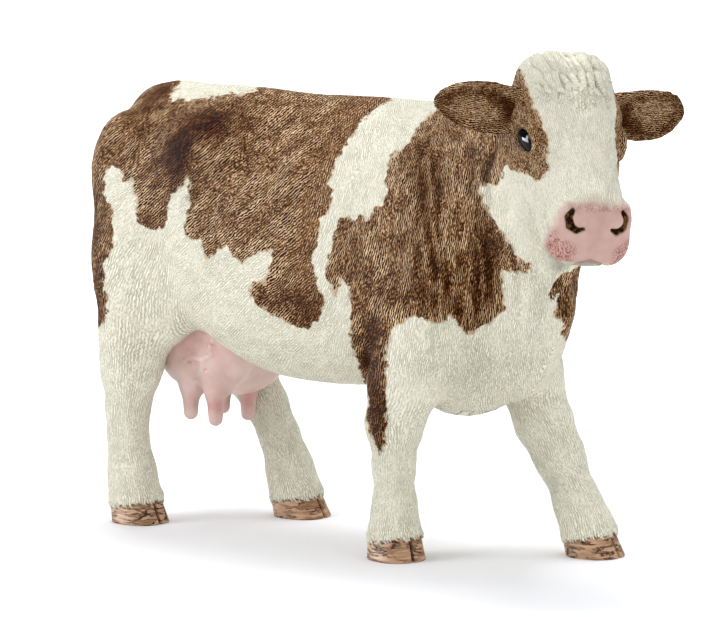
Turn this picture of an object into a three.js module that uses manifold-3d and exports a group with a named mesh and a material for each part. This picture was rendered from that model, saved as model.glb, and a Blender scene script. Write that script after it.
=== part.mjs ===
// Toy farm cow, about 1:20, moulded in soft vinyl and glued from ten pieces.
// Millimetres, +Z up. The cow looks along +X and stands on the flat soles of its four hooves.
// Every piece is a skin cast around a spine: rays run out from the spine, ring after ring,
// to the surface of a few soft forms (balls and tapered limbs) that melt into each other.

import * as THREE from 'three';
import { mergeVertices } from 'three/addons/utils/BufferGeometryUtils.js';
import Module from 'manifold-3d';

const wasm = await Module();
wasm.setup();

// Driving sizes

const bodyLength = 100; // brisket to pin bones
const bodyWidth = 40; // across the belly
const backHeight = 74; // sole to the line of the back
const legThickness = 10; // across the forearm
const hoofLength = 10; // toe to heel
const hoofWidth = 9.4; // both claws together
const hoofHeight = 4.6; // sole to hair line
const headLength = 30; // poll to nose
const earLength = 14.5; // base to tip
const earWidth = 8; // across the leaf
const earThickness = 4; // front of the leaf to its back
const earDish = 1.6; // depth of the hollow in the leaf
const udderLength = 22; // along the belly
const udderWidth = 16; // between the thighs
const udderDepth = 19; // root to floor of the bag
const teatLength = 6.5; // below the bag
const teatDiameter = 3.6; // halfway down
const tailThickness = 4.4; // across the switch
const melt = 6; // how far two body forms melt into each other

// Joints: pegs of the limbs sit glued in sockets of the body

const glueGap = 0.3; // room for glue between two pieces
const pegDiameter = 5; // leg pegs
const pegLength = 5; // leg pegs, above the seam
const neckPegDiameter = 9;
const neckPegLength = 5;
const pegSides = 16;

// How finely the skins are cast

const ringStep = 2.6; // between two rings of the body
const limbRingStep = 2; // between two rings of a limb
const bodySides = 40;
const headSides = 28;
const limbSides = 18;
const smallSides = 14;
const teatSides = 10;
const bodyProbe = 0.65; // step of a ray on its way out of a body form
const fineProbe = 0.3; // the same in ears, tail and teats
const halvings = 24; // of the step in which a ray meets the surface

// A place in the body's frame, from its shares of length, width and height
const place = (x, y, z) => new THREE.Vector3(x * bodyLength, y * bodyWidth, z * backHeight);

// Turns a forward axis by heading (left), pitch (up) and roll, in degrees
function turn(heading = 0, pitch = 0, roll = 0) {
  const rad = THREE.MathUtils.degToRad;
  return new THREE.Matrix4().makeRotationFromEuler(new THREE.Euler(rad(roll), -rad(pitch), rad(heading), 'ZYX'));
}

// A soft ball: three radii, turned
function ball(centre, radii, rotation = turn()) {
  const back = rotation.clone().invert();
  const q = new THREE.Vector3();
  return (p) => {
    q.subVectors(p, centre).applyMatrix4(back);
    const outer = Math.hypot(q.x / radii.x, q.y / radii.y, q.z / radii.z);
    const slope = Math.hypot(q.x / radii.x ** 2, q.y / radii.y ** 2, q.z / radii.z ** 2);
    return slope > 0 ? (outer * (outer - 1)) / slope : -Math.min(radii.x, radii.y, radii.z);
  };
}

// A tapered limb with round ends
function limb(start, startRadius, end, endRadius) {
  const axis = new THREE.Vector3().subVectors(end, start);
  const q = new THREE.Vector3();
  return (p) => {
    q.subVectors(p, start);
    const along = THREE.MathUtils.clamp(q.dot(axis) / axis.lengthSq(), 0, 1);
    return q.addScaledVector(axis, -along).length() - THREE.MathUtils.lerp(startRadius, endRadius, along);
  };
}

// Forms melted into one, each with its own reach
function melted(forms) {
  return (p) => forms.reduce((sum, { form, reach }) => {
    const d = form(p);
    const h = Math.max(reach - Math.abs(sum - d), 0) / reach;
    return Math.min(sum, d) - (h * h * reach) / 4;
  }, Infinity);
}

// The same form grown by the glue gap
const grown = (form) => (p) => form(p) - glueGap;

// How far a ray runs from inside a form to its surface
function reachOf(form, from, direction, probe) {
  const p = new THREE.Vector3();
  const at = (s) => form(p.copy(from).addScaledVector(direction, s));
  let inner = 0;
  let outer = probe;
  while (at(outer) < 0) {
    inner = outer;
    outer += probe;
  }
  for (let i = 0; i < halvings; i++) {
    const middle = (inner + outer) / 2;
    if (at(middle) < 0) inner = middle;
    else outer = middle;
  }
  return inner;
}

// Stations between the hand-placed ones, evenly spread, each with a centre and a ring axis
function spread(stations, step) {
  const rings = [];
  const path = new THREE.CatmullRomCurve3(stations.map((s) => s.at), false, 'centripetal');
  for (let i = 0; i + 1 < stations.length; i++) {
    const count = Math.max(1, Math.round(stations[i].at.distanceTo(stations[i + 1].at) / step));
    for (let k = 0; k < count; k++) rings.push(station(i, k / count));
  }
  rings.push(station(stations.length - 1, 0));
  return rings;

  function station(i, share) {
    const next = Math.min(i + 1, stations.length - 1);
    return {
      at: path.getPoint((i + share) / (stations.length - 1)),
      ahead: stations[i].ahead.clone().lerp(stations[next].ahead, share).normalize(),
    };
  }
}

// A closed skin of rings. An end is flat, or round where a ray along the spine finds its tip:
// a round end has more rings, closer and closer to the tip.
const tipShares = [0.45, 0.75, 0.93];

function skin(form, stations, { sides, upright, roundStart = false, roundEnd = false, probe = bodyProbe }) {
  const first = stations[0];
  const last = stations[stations.length - 1];
  const back = first.ahead.clone().negate();
  const startReach = roundStart ? reachOf(form, first.at, back, probe) : 0;
  const endReach = roundEnd ? reachOf(form, last.at, last.ahead, probe) : 0;
  const toward = (from, way, reach) => ({ at: from.at.clone().addScaledVector(way, reach), ahead: from.ahead });
  const startRings = roundStart ? tipShares.map((share) => toward(first, back, share * startReach)).reverse() : [];
  const endRings = roundEnd ? tipShares.map((share) => toward(last, last.ahead, share * endReach)) : [];
  const rings = [...startRings, ...stations, ...endRings];
  const points = [];
  for (const { at, ahead } of rings) {
    const side = new THREE.Vector3().crossVectors(upright, ahead).normalize();
    const lift = new THREE.Vector3().crossVectors(ahead, side);
    for (let k = 0; k < sides; k++) {
      const angle = (k / sides) * Math.PI * 2;
      const ray = side.clone().multiplyScalar(Math.cos(angle)).addScaledVector(lift, Math.sin(angle));
      points.push(at.clone().addScaledVector(ray, reachOf(form, at, ray, probe)));
    }
  }
  const start = points.push(toward(first, back, startReach).at) - 1;
  const end = points.push(toward(last, last.ahead, endReach).at) - 1;
  const top = (rings.length - 1) * sides;
  const faces = [];
  for (let k = 0; k < sides; k++) {
    const j = (k + 1) % sides;
    faces.push(start, j, k, end, top + k, top + j);
    for (let a = 0; a < top; a += sides) {
      const b = a + sides;
      faces.push(a + k, a + j, b + j, a + k, b + j, b + k);
    }
  }
  return solid(new THREE.BufferGeometry().setFromPoints(points).setIndex(faces));
}

// Geometry to a solid for joining and cutting, and back
function solid(geometry) {
  geometry.deleteAttribute('normal');
  geometry.deleteAttribute('uv');
  const merged = mergeVertices(geometry);
  const vertProperties = new Float32Array(merged.attributes.position.array);
  return new wasm.Manifold(new wasm.Mesh({ numProp: 3, vertProperties, triVerts: new Uint32Array(merged.index.array) }));
}

function piece(name, shape, material) {
  const mesh = shape.getMesh();
  const geometry = new THREE.BufferGeometry();
  geometry.setAttribute('position', new THREE.BufferAttribute(mesh.vertProperties, 3));
  geometry.setIndex(new THREE.BufferAttribute(mesh.triVerts, 1));
  geometry.computeVertexNormals();
  const node = new THREE.Mesh(geometry, material);
  node.name = name;
  return node;
}

// A round peg that starts under a seam and points along a direction
function peg(at, along, diameter, length, room) {
  const geometry = new THREE.CylinderGeometry(diameter / 2 + room, diameter / 2 + room, length * 2 + room * 2, pegSides);
  geometry.applyQuaternion(new THREE.Quaternion().setFromUnitVectors(new THREE.Vector3(0, 1, 0), along));
  geometry.translate(at.x, at.y, at.z);
  return solid(geometry);
}

// Body forms: centre x, y, z, radii x, y, z, then heading, pitch and reach; a y of its own is mirrored
const barrelShares = [
  [0.08, 0, 0.67, 0.26, 0.44, 0.3, 0, 0, 1], // chest barrel
  [-0.12, 0, 0.65, 0.29, 0.5, 0.305, 0, 0, 1.3], // belly
  [-0.32, 0, 0.72, 0.2, 0.42, 0.24, 0, 0, 1.3], // loin and rump
  [0.17, 0, 0.825, 0.11, 0.17, 0.125, 0, 0, 1], // withers
  [-0.46, 0, 0.79, 0.07, 0.25, 0.15, 0, 0, 1], // tail head
  [0.26, 0, 0.59, 0.12, 0.25, 0.22, 0, 0, 1], // breast
  [0.18, 0, 0.41, 0.1, 0.2, 0.105, 0, 0, 0.8], // brisket
];
const pairedShares = [
  [-0.27, 0.29, 0.86, 0.07, 0.11, 0.06, 0, 0, 1.2], // hook bones
  [-0.47, 0.24, 0.79, 0.055, 0.13, 0.13, 0, 0, 1], // pin bones
  [-0.4, 0.25, 0.62, 0.12, 0.22, 0.23, 0, -7, 0.45], // thighs
  [0.185, 0.26, 0.705, 0.1, 0.2, 0.215, 0, 12, 0.8], // shoulder blades
  [0.185, 0.27, 0.535, 0.085, 0.18, 0.15, 0, 0, 0.7], // upper arms
];
const neckShares = [
  [0.26, -0.025, 0.77, 0.13, 0.275, 0.195, 0, 10, 1.1],
  [0.34, -0.1, 0.83, 0.11, 0.22, 0.19, -20, 0, 1],
  [0.39, -0.16, 0.9, 0.09, 0.2, 0.145, -25, 0, 0.8],
  [0.42, -0.21, 0.77, 0.07, 0.15, 0.11, -30, -30, 0.8], // throat
];
// Limbs of the body: places x, y, z, then a thickness as a share of the body's width
const backShares = [[0.18, 0, 0.858, 0.18], [-0.4, 0, 0.886, 0.175]];
const dewlapShares = [[0.43, -0.25, 0.76, 0.1], [0.36, -0.1, 0.57, 0.11], [0.3, -0.025, 0.43, 0.11]];

function bodyBall([x, y, z, rx, ry, rz, heading, pitch, reach]) {
  return { form: ball(place(x, y, z), place(rx, ry, rz), turn(heading, pitch)), reach: reach * melt };
}

function bodyLimbs(shares, thickness, reach) {
  const at = shares.map(([x, y, z]) => place(x, y, z));
  return shares.slice(1).map((row, i) => ({
    form: limb(at[i], shares[i][3] * thickness, at[i + 1], row[3] * thickness),
    reach: reach * melt,
  }));
}

const trunkForms = [
  ...barrelShares.map(bodyBall),
  ...pairedShares.flatMap((row) => [bodyBall(row), bodyBall([row[0], -row[1], ...row.slice(2)])]),
  ...bodyLimbs(backShares, bodyWidth, 1),
  ...neckShares.map(bodyBall),
  ...bodyLimbs(dewlapShares, bodyWidth, 0.8),
];

// The head hangs from the poll, turned to the cow's right and nose down. Its shares are of headLength:
// forward along the face, left, up from the face; then three radii, pitch and reach.
const pollShares = [0.438, -0.165, 1.068];
const headHeading = -32;
const headPitch = -47;
const headRoll = -7;
const headTurn = turn(headHeading, headPitch, headRoll);
const headPlace = (x, y, z) => new THREE.Vector3(x, y, z).multiplyScalar(headLength)
  .applyMatrix4(headTurn).add(place(...pollShares));
const skullShares = [
  [0.13, 0, -0.22, 0.27, 0.27, 0.24, 0, 0.5], // skull
  [0.37, 0, -0.28, 0.3, 0.25, 0.25, 0, 0.6], // face
  [0.8, 0.01, -0.23, 0.115, 0.2, 0.185, 38, 0.5], // muzzle
  [0.88, 0, -0.34, 0.093, 0.13, 0.06, 0, 0.17], // chin
];
const cheekShares = [
  [0.15, 0.12, -0.125, 0.2, 0.195, 0.155, 0, 0.4], // forehead
  [0.6, 0.06, -0.19, 0.33, 0.15, 0.16, -3, 0.5], // bridge of the nose
  [-0.01, 0.1, -0.05, 0.16, 0.165, 0.13, 0, 0.4], // tuft on the poll
  [0.3, 0.14, -0.4, 0.25, 0.11, 0.18, 0, 0.5], // jaw muscles
  [0.33, 0.165, -0.115, 0.15, 0.075, 0.08, 0, 0.4], // brows
  [0.88, 0.115, -0.28, 0.1, 0.095, 0.08, 0, 0.4], // lips
  [0.78, 0.167, -0.287, 0.127, 0.063, 0.077, 10, 0.33], // corners of the mouth
  [0.813, 0.147, -0.14, 0.063, 0.06, 0.1, 38, 0.27], // wings of the nostrils
];
const jawShares = [[0.3, 0, -0.43, 0.145], [0.8, 0, -0.32, 0.1]];

function headBall([x, y, z, rx, ry, rz, pitch, reach]) {
  const radii = new THREE.Vector3(rx, ry, rz).multiplyScalar(headLength);
  return { form: ball(headPlace(x, y, z), radii, turn(0, pitch).premultiply(headTurn)), reach: reach * melt };
}

const [jawStart, jawEnd] = jawShares.map(([x, y, z]) => headPlace(x, y, z));
const headForms = [
  ...skullShares.map(headBall),
  ...cheekShares.flatMap((row) => [headBall(row), headBall([row[0], -row[1], ...row.slice(2)])]),
  {
    form: limb(jawStart, jawShares[0][3] * headLength, jawEnd, jawShares[1][3] * headLength),
    reach: melt / 2,
  },
];

// Legs: from the root in the body to the hair line, places as shares, thickness of legThickness
const legShares = {
  front_right_leg: {
    path: [[0.19, -0.29, 0.5, 0.66], [0.15, -0.29, 0.39, 0.55], [0.13, -0.29, 0.3, 0.43],
      [0.128, -0.29, 0.203, 0.3], [0.13, -0.29, 0.12, 0.31], [0.132, -0.29, 0.06, 0.4]],
    hoof: [0.134, -0.29, 0],
    seam: 0.325,
  },
  front_left_leg: {
    path: [[0.2, 0.275, 0.5, 0.66], [0.222, 0.28, 0.39, 0.53], [0.255, 0.285, 0.28, 0.43],
      [0.285, 0.29, 0.21, 0.37], [0.32, 0.29, 0.12, 0.33], [0.348, 0.29, 0.06, 0.42]],
    hoof: [0.36, 0.29, 8],
    seam: 0.325,
  },
  hind_right_leg: {
    path: [[-0.42, -0.285, 0.53, 0.66], [-0.435, -0.285, 0.43, 0.56], [-0.445, -0.28, 0.35, 0.48],
      [-0.455, -0.275, 0.26, 0.33], [-0.455, -0.275, 0.19, 0.3], [-0.447, -0.275, 0.12, 0.35],
      [-0.436, -0.275, 0.06, 0.42]],
    hoof: [-0.427, -0.275, 0],
    seam: 0.42,
  },
  hind_left_leg: {
    path: [[-0.4, 0.285, 0.53, 0.66], [-0.4, 0.285, 0.42, 0.52], [-0.38, 0.28, 0.32, 0.41],
      [-0.34, 0.275, 0.25, 0.33], [-0.31, 0.275, 0.18, 0.3], [-0.288, 0.275, 0.115, 0.34],
      [-0.27, 0.275, 0.06, 0.41]],
    hoof: [-0.258, 0.275, 8],
    seam: 0.42,
  },
};

// A hoof is two claws side by side, cut flat at the sole: a claw's radii, then where its middle is
const clawShares = { radii: [0.48, 0.29, 0.92], aside: 0.21, lift: 0.2 };
const closeReach = melt / 5; // how far two small forms melt into each other

function clawForms([x, y, heading]) {
  const radii = new THREE.Vector3(hoofLength, hoofWidth, hoofHeight).multiply(new THREE.Vector3(...clawShares.radii));
  const middle = place(x, y, 0).setZ(hoofHeight * clawShares.lift);
  return [-1, 1].map((side) => {
    const centre = middle.clone().add(new THREE.Vector3(0, side * hoofWidth * clawShares.aside, 0));
    return { form: ball(centre, radii, turn(heading)), reach: closeReach };
  });
}

const legReachShare = 0.4;
const legForms = ({ path }) => bodyLimbs(path, legThickness, legReachShare);

// A leg is cast in level rings from the sole to its seam; its peg stands on the seam
function legSolid(leg) {
  const hoof = place(leg.hoof[0], leg.hoof[1], 0);
  const seamHeight = leg.seam * backHeight;
  const form = melted([...trunkForms, ...legForms(leg), ...clawForms(leg.hoof)]);
  const line = leg.path.map(([x, y, z]) => place(x, y, z)).filter((p) => p.z < seamHeight);
  const upper = leg.path.map(([x, y, z]) => place(x, y, z)).filter((p) => p.z >= seamHeight).pop();
  const top = line[0].clone().lerp(upper, (seamHeight - line[0].z) / (upper.z - line[0].z));
  const level = new THREE.Vector3(0, 0, 1);
  const ground = hoof.clone();
  const pastern = hoof.clone().setZ(hoofHeight / 2);
  const stations = [ground, pastern, ...line.reverse(), top].map((at) => ({ at, ahead: level }));
  const rings = spread(stations, limbRingStep);
  const shank = skin(form, rings, { sides: limbSides, upright: new THREE.Vector3(1, 0, 0) });
  return { shank, top };
}

// Ears: leaves with a hollow front, on a stalk in the head. The first two rows are shares of the head's length,
// the others of the ear's length and thickness.
const earShares = {
  base: [0.11, 0.235, -0.15],
  tip: [0.08, 0.69, -0.15],
  front: [1, 0, 0.9],
  middle: 0.5,
  stalk: [-0.15, 0.25],
  stalkRadii: [0.6, 0.5],
  rings: [-0.15, 0.1, 0.5, 0.95],
  dishRings: [0.25, 0.55, 0.85],
  dishMiddle: 0.55,
  dishSize: 0.8,
};
const stalkReach = melt * 0.4;

function earSolid(side, room) {
  const base = headPlace(earShares.base[0], side * earShares.base[1], earShares.base[2]);
  const aim = headPlace(earShares.tip[0], side * earShares.tip[1], earShares.tip[2]);
  const along = aim.sub(base).normalize();
  const front = new THREE.Vector3(...earShares.front).applyMatrix4(headTurn);
  front.addScaledVector(along, -front.dot(along)).normalize();
  const across = new THREE.Vector3().crossVectors(front, along);
  const leafTurn = new THREE.Matrix4().makeBasis(along, across, front);
  const at = (share, lift) => base.clone().addScaledVector(along, share * earLength).addScaledVector(front, lift);
  const half = new THREE.Vector3(earLength, earWidth, earThickness).divideScalar(2);
  const [stalkStart, stalkEnd] = earShares.stalk.map((share) => at(share, 0));
  const [startRadius, endRadius] = earShares.stalkRadii.map((share) => share * earThickness);
  const leaf = melted([
    { form: ball(at(earShares.middle, 0), half, leafTurn), reach: closeReach },
    { form: limb(stalkStart, startRadius, stalkEnd, endRadius), reach: stalkReach },
  ]);
  const stations = earShares.rings.map((share) => ({ at: at(share, -earDish / 2), ahead: along }));
  const look = { sides: smallSides, upright: front, roundStart: true, roundEnd: true, probe: fineProbe };
  const rings = spread(stations, limbRingStep);
  const whole = skin(room ? grown(leaf) : leaf, rings, look);
  if (room) return whole;
  const dishHalf = half.clone().multiplyScalar(earShares.dishSize).setZ(earDish);
  const dish = ball(at(earShares.dishMiddle, earThickness / 2), dishHalf, leafTurn);
  const dishStations = earShares.dishRings.map((share) => ({ at: at(share, earThickness / 2), ahead: along }));
  return whole.subtract(skin(dish, spread(dishStations, limbRingStep), look));
}

// Tail: hangs close behind the rump and swells to the switch
const tailShares = [[-0.44, 0, 0.93, 0.6], [-0.52, -0.02, 0.885, 0.42], [-0.56, -0.05, 0.78, 0.34],
  [-0.57, -0.07, 0.64, 0.4], [-0.565, -0.09, 0.51, 0.5], [-0.555, -0.1, 0.41, 0.38], [-0.545, -0.11, 0.345, 0.2]];

const tailReachShare = 0.2;

function tailSolid(room) {
  const form = melted(bodyLimbs(tailShares, tailThickness, tailReachShare));
  const at = tailShares.map(([x, y, z]) => place(x, y, z));
  const stations = at.map((p, i) => ({
    at: p,
    ahead: at[Math.min(i + 1, at.length - 1)].clone().sub(at[Math.max(i - 1, 0)]).normalize(),
  }));
  const look = { sides: smallSides, upright: new THREE.Vector3(1, 0, 0), roundStart: true, roundEnd: true };
  return skin(room ? grown(form) : form, spread(stations, limbRingStep), { ...look, probe: fineProbe });
}

// Udder: a bag of two quarters a side, with four teats
const udderShares = [-0.325, 0, 0.43];
const bagShares = [[0.14, 0, 0, 0.38, 0.52, 0.46], [-0.2, 0, 0, 0.36, 0.52, 0.46]];
const bagRingShares = [0.36, 0, -0.4];
const teatShares = [[0.05, -0.3], [0.05, 0.31], [-0.2, -0.3], [-0.21, 0.22]];
const teatRootShare = 0.3; // of the bag's depth, below its middle
const bagFloorShare = 0.46;
const teatRadiusShares = [0.62, 0.42]; // root and tip

function udderSolid(room) {
  const middle = place(...udderShares);
  const size = new THREE.Vector3(udderLength, udderWidth, udderDepth);
  const forms = bagShares.map(([x, y, z, rx, ry, rz]) => ({
    form: ball(new THREE.Vector3(x, y, z).multiply(size).add(middle), new THREE.Vector3(rx, ry, rz).multiply(size)),
    reach: melt / 2,
  }));
  const form = melted(forms);
  const down = new THREE.Vector3(0, 0, -1);
  const stations = bagRingShares.map((share) => ({
    at: middle.clone().addScaledVector(down, -share * udderDepth),
    ahead: down,
  }));
  const look = { sides: bodySides / 2, upright: new THREE.Vector3(1, 0, 0), roundStart: true, roundEnd: true };
  const bag = skin(room ? grown(form) : form, spread(stations, limbRingStep), look);
  if (room) return bag;
  return teatShares.reduce((sum, [x, y]) => sum.add(teatSolid(middle, x * udderLength, y * udderWidth)), bag);
}

function teatSolid(middle, ahead, aside) {
  const root = middle.clone().add(new THREE.Vector3(ahead, aside, -udderDepth * teatRootShare));
  const floor = middle.z - udderDepth * bagFloorShare;
  const tip = root.clone().setZ(floor - teatLength + teatDiameter / 2);
  const [rootRadius, tipRadius] = teatRadiusShares.map((share) => share * teatDiameter);
  const form = limb(root, rootRadius, tip, tipRadius);
  const stations = [root, tip].map((at) => ({ at, ahead: new THREE.Vector3(0, 0, -1) }));
  const look = { sides: teatSides, upright: new THREE.Vector3(1, 0, 0), roundStart: true, roundEnd: true };
  return skin(form, spread(stations, limbRingStep), { ...look, probe: fineProbe });
}

// The spine of the body, from the rump to the seam in the neck, then of the head from there to the nose.
// Each station has a place and the heading and pitch that its ring faces.
const neckSeamShares = [0.37, -0.13, 0.9];
const neckSeamHeading = -32;
const neckSeamPitch = 14;
const trunkStations = [
  [[-0.48, 0, 0.74], 0, 0], [[-0.4, 0, 0.7], 0, 0], [[-0.2, 0, 0.68], 0, 0], [[0.05, 0, 0.68], 0, 0],
  [[0.18, 0, 0.71], 0, 0], [[0.28, -0.05, 0.78], -12, 7], [neckSeamShares, neckSeamHeading, neckSeamPitch],
];
// The head's stations: along the face, up from it, and pitch, in the head's own shares
const faceStations = [[0.22, -0.36, 6], [0.5, -0.32, -22], [0.8, -0.21, headPitch]];

const up = new THREE.Vector3(0, 0, 1);
const forward = (heading, pitch) => new THREE.Vector3(1, 0, 0).applyMatrix4(turn(heading, pitch));
const neckSeam = { at: place(...neckSeamShares), ahead: forward(neckSeamHeading, neckSeamPitch) };
const offSeam = (by) => ({ at: neckSeam.at.clone().addScaledVector(neckSeam.ahead, by), ahead: neckSeam.ahead });
const figure = melted([...trunkForms, ...headForms]);

// Everything on one side of the neck seam: ahead of it, or behind it where way is -1
function pastSeam(way, room) {
  const size = bodyLength + headLength;
  const box = new THREE.BoxGeometry(size, size, size);
  box.translate((way * size) / 2 + room, 0, 0);
  box.applyMatrix4(turn(neckSeamHeading, neckSeamPitch));
  box.translate(neckSeam.at.x, neckSeam.at.y, neckSeam.at.z);
  return solid(box);
}

// The skins of head and trunk both run on past the seam by this much, then are cut flat there
const seamOverrun = ringStep * 1.5;
const startShare = 0.9; // how much of the overrun the head's first ring uses

function headSolid() {
  const face = faceStations.map(([along, lift, pitch]) => ({
    at: headPlace(along, 0, lift),
    ahead: forward(headHeading, pitch),
  }));
  const start = offSeam(-seamOverrun);
  const toStart = new THREE.Vector3();
  const form = (p) => Math.max(figure(p), -toStart.subVectors(p, start.at).dot(start.ahead));
  const stations = spread([offSeam(-seamOverrun * startShare), neckSeam, ...face], limbRingStep);
  const whole = skin(form, stations, { sides: headSides, upright: up, roundEnd: true });
  return whole.subtract(pastSeam(-1, glueGap));
}

function trunkSolid() {
  const roots = Object.values(legShares).flatMap(({ path }) => bodyLimbs(path.slice(0, 3), legThickness, legReachShare));
  const form = melted([...trunkForms, ...roots, ...headForms]);
  const stations = trunkStations.map(([at, heading, pitch]) => ({ at: place(...at), ahead: forward(heading, pitch) }));
  stations.push(offSeam(seamOverrun));
  const whole = skin(form, spread(stations, ringStep), { sides: bodySides, upright: up, roundStart: true });
  return whole.subtract(pastSeam(1, 0));
}

// Everything below a leg's seam, from just inside the leg outward, in shares of the leg's thickness
const seamBoxShares = { inner: 0.7, outer: 1.3, length: 2.4 };

function belowSeam(top) {
  const inner = legThickness * seamBoxShares.inner;
  const outer = legThickness * seamBoxShares.outer;
  const depth = backHeight;
  const box = new THREE.BoxGeometry(legThickness * seamBoxShares.length, inner + outer, depth);
  box.translate(top.x, top.y + (Math.sign(top.y) * (outer - inner)) / 2, top.z - depth / 2 + glueGap);
  return solid(box);
}

const vinyl = (color) => new THREE.MeshStandardMaterial({ color, roughness: 0.6, metalness: 0 });
const cream = vinyl('#e6e4d6');
const brown = vinyl('#7a5236');
const pink = vinyl('#e2c2ba');

const legs = Object.entries(legShares).map(([name, leg]) => ({ name, leg, ...legSolid(leg) }));
const udderRoom = udderSolid(true);
const tailRoom = tailSolid(true);

let trunk = trunkSolid();
for (const { top } of legs) {
  trunk = trunk.subtract(belowSeam(top)).subtract(peg(top, up, pegDiameter, pegLength, glueGap));
}
trunk = trunk.subtract(peg(neckSeam.at, neckSeam.ahead, neckPegDiameter, neckPegLength, glueGap));
trunk = trunk.subtract(udderRoom).subtract(tailRoom);

const head = headSolid()
  .add(peg(neckSeam.at, neckSeam.ahead, neckPegDiameter, neckPegLength, 0))
  .subtract(earSolid(1, true))
  .subtract(earSolid(-1, true));

const cow = new THREE.Group();
cow.add(piece('torso', trunk, brown));
cow.add(piece('head', head, cream));
cow.add(piece('left_ear', earSolid(1, false), brown));
cow.add(piece('right_ear', earSolid(-1, false), brown));
for (const { name, shank, top } of legs) {
  const whole = shank.add(peg(top, up, pegDiameter, pegLength, 0)).subtract(udderRoom);
  cow.add(piece(name, whole, cream));
}
cow.add(piece('udder', udderSolid(false), pink));
cow.add(piece('tail', tailSolid(false), brown));

// Stand the cow on the origin, in the middle of its own outline
const outline = new THREE.Box3().setFromObject(cow);
const middle = outline.getCenter(new THREE.Vector3());
cow.position.set(-middle.x, -middle.y, -outline.min.z);

export default cow;
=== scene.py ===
# %% [markdown]
# # A toy dairy cow, painted soft vinyl
#
# A farm figure about 12 cm long: a cream-white cow with brown patches, moulded in soft vinyl with a
# combed coat cut into the mould, then painted by hand. The CAD model gives the ten mouldings as
# plain solids. Here each of them gets a finer skin in the same place: the same soft forms melted
# together, with the relief of the coat, and paint that a few attributes on the mesh steer.

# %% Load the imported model
import math
import time
from collections import namedtuple

import bpy
import numpy as np
from mathutils import Matrix, Vector


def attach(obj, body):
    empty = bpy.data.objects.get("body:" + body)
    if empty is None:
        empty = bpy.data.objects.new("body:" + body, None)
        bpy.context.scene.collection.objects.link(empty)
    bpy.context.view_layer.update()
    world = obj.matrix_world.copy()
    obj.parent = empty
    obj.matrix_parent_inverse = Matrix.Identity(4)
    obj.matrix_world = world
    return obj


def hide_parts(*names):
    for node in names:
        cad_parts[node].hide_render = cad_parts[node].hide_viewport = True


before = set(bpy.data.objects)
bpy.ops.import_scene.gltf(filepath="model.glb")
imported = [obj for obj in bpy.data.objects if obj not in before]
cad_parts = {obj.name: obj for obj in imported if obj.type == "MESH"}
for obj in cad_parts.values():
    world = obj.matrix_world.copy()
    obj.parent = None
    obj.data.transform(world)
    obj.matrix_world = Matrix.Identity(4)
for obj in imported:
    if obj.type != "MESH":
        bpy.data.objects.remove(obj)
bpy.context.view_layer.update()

started = time.time()
mm = 0.001

# %% [markdown]
# ## The camera
#
# The photograph was taken from the cow's right, a little in front and a little above, with a long
# lens. The four soles lie on one plane, and that fixed the height; the outline fixed the rest. A
# lens that long hardly narrows anything with distance, which suits a catalogue picture.

# %% Camera
photo_width, photo_height = 715, 617
camera_azimuth = math.radians(40.0)
camera_height = math.radians(7.3)
camera_distance = 900.0  # mm
camera_focus = 5535.0  # focal length, in pixels of the photograph
# The CAD model stands the figure with the middle of its outline on the origin. The tables below
# are measured from the middle of the trunk, so every vertex moves by this much at the end, in mm.
figure_shift = np.array([0.0241, 2.6047, 0.0])
camera_target = np.array([0.0, -5.4, 39.0])  # what the camera looks at, in mm from the middle of the trunk

camera_back = np.array([math.sin(camera_azimuth) * math.cos(camera_height),
                        -math.cos(camera_azimuth) * math.cos(camera_height), math.sin(camera_height)])
camera_right = np.array([math.cos(camera_azimuth), math.sin(camera_azimuth), 0.0])
camera_up = np.cross(camera_back, camera_right)

camera_data = bpy.data.cameras.new("camera")
camera_data.sensor_width = 36
camera_data.lens = camera_focus / photo_width * camera_data.sensor_width
camera = bpy.data.objects.new("camera", camera_data)
bpy.context.scene.collection.objects.link(camera)
camera.matrix_world = Matrix([
    [*axes, place] for axes, place in zip(
        np.stack([camera_right, camera_up, camera_back], 1),
        (camera_target + figure_shift + camera_back * camera_distance) * mm)] + [[0, 0, 0, 1]])
bpy.context.scene.camera = camera


def pictured(points):
    """Where points in mm land in the photograph, in its pixels."""
    offset = points - camera_target
    depth = camera_distance - offset @ camera_back
    across = photo_width / 2 + camera_focus * (offset @ camera_right) / depth
    down = photo_height / 2 - camera_focus * (offset @ camera_up) / depth
    return np.stack([across, down], -1)


print("lens, mm:", round(camera_data.lens, 1))

# %% [markdown]
# ## Soft forms
#
# An animal has no flat sides and no edges, so boxes and cylinders don't suit it. A sculptor starts
# from lumps of clay pressed into each other, and that can be written down: a *ball* is three radii
# at a place, a *limb* is a tapered sausage, and *melting* two of them fills the crease between them.
# Each form says how far any point is from its surface, less than nothing inside. The tables of the
# body, the head and the legs are the same ones that the CAD model is cast from, apart from how far
# the front right hoof turns out.

# %% Driving sizes, in mm
body_length, body_width, back_height = 100, 40, 74
leg_thickness = 10
hoof_length, hoof_width, hoof_height = 10, 9.4, 4.6
head_length = 30
ear_length, ear_width, ear_thickness = 14.5, 8, 4
udder_length, udder_width, udder_depth = 22, 16, 19
teat_length, teat_diameter = 6.5, 3.6
tail_thickness = 4.4
melt = 6  # how far round a crease between two forms the clay fills it
print("driving sizes, mm:", body_length, body_width, back_height)

# %% Balls, limbs and melting
# reach is how far a form melts into others, way is 1 for a form that adds and -1 for one that carves
Form = namedtuple("Form", "distance low high reach way")


def turn(heading=0, pitch=0, roll=0):
    """Turns a forward axis by heading (left), pitch (up) and roll, in degrees."""
    return np.array(Matrix.Rotation(math.radians(heading), 3, "Z")
                    @ Matrix.Rotation(-math.radians(pitch), 3, "Y")
                    @ Matrix.Rotation(math.radians(roll), 3, "X"))


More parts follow.
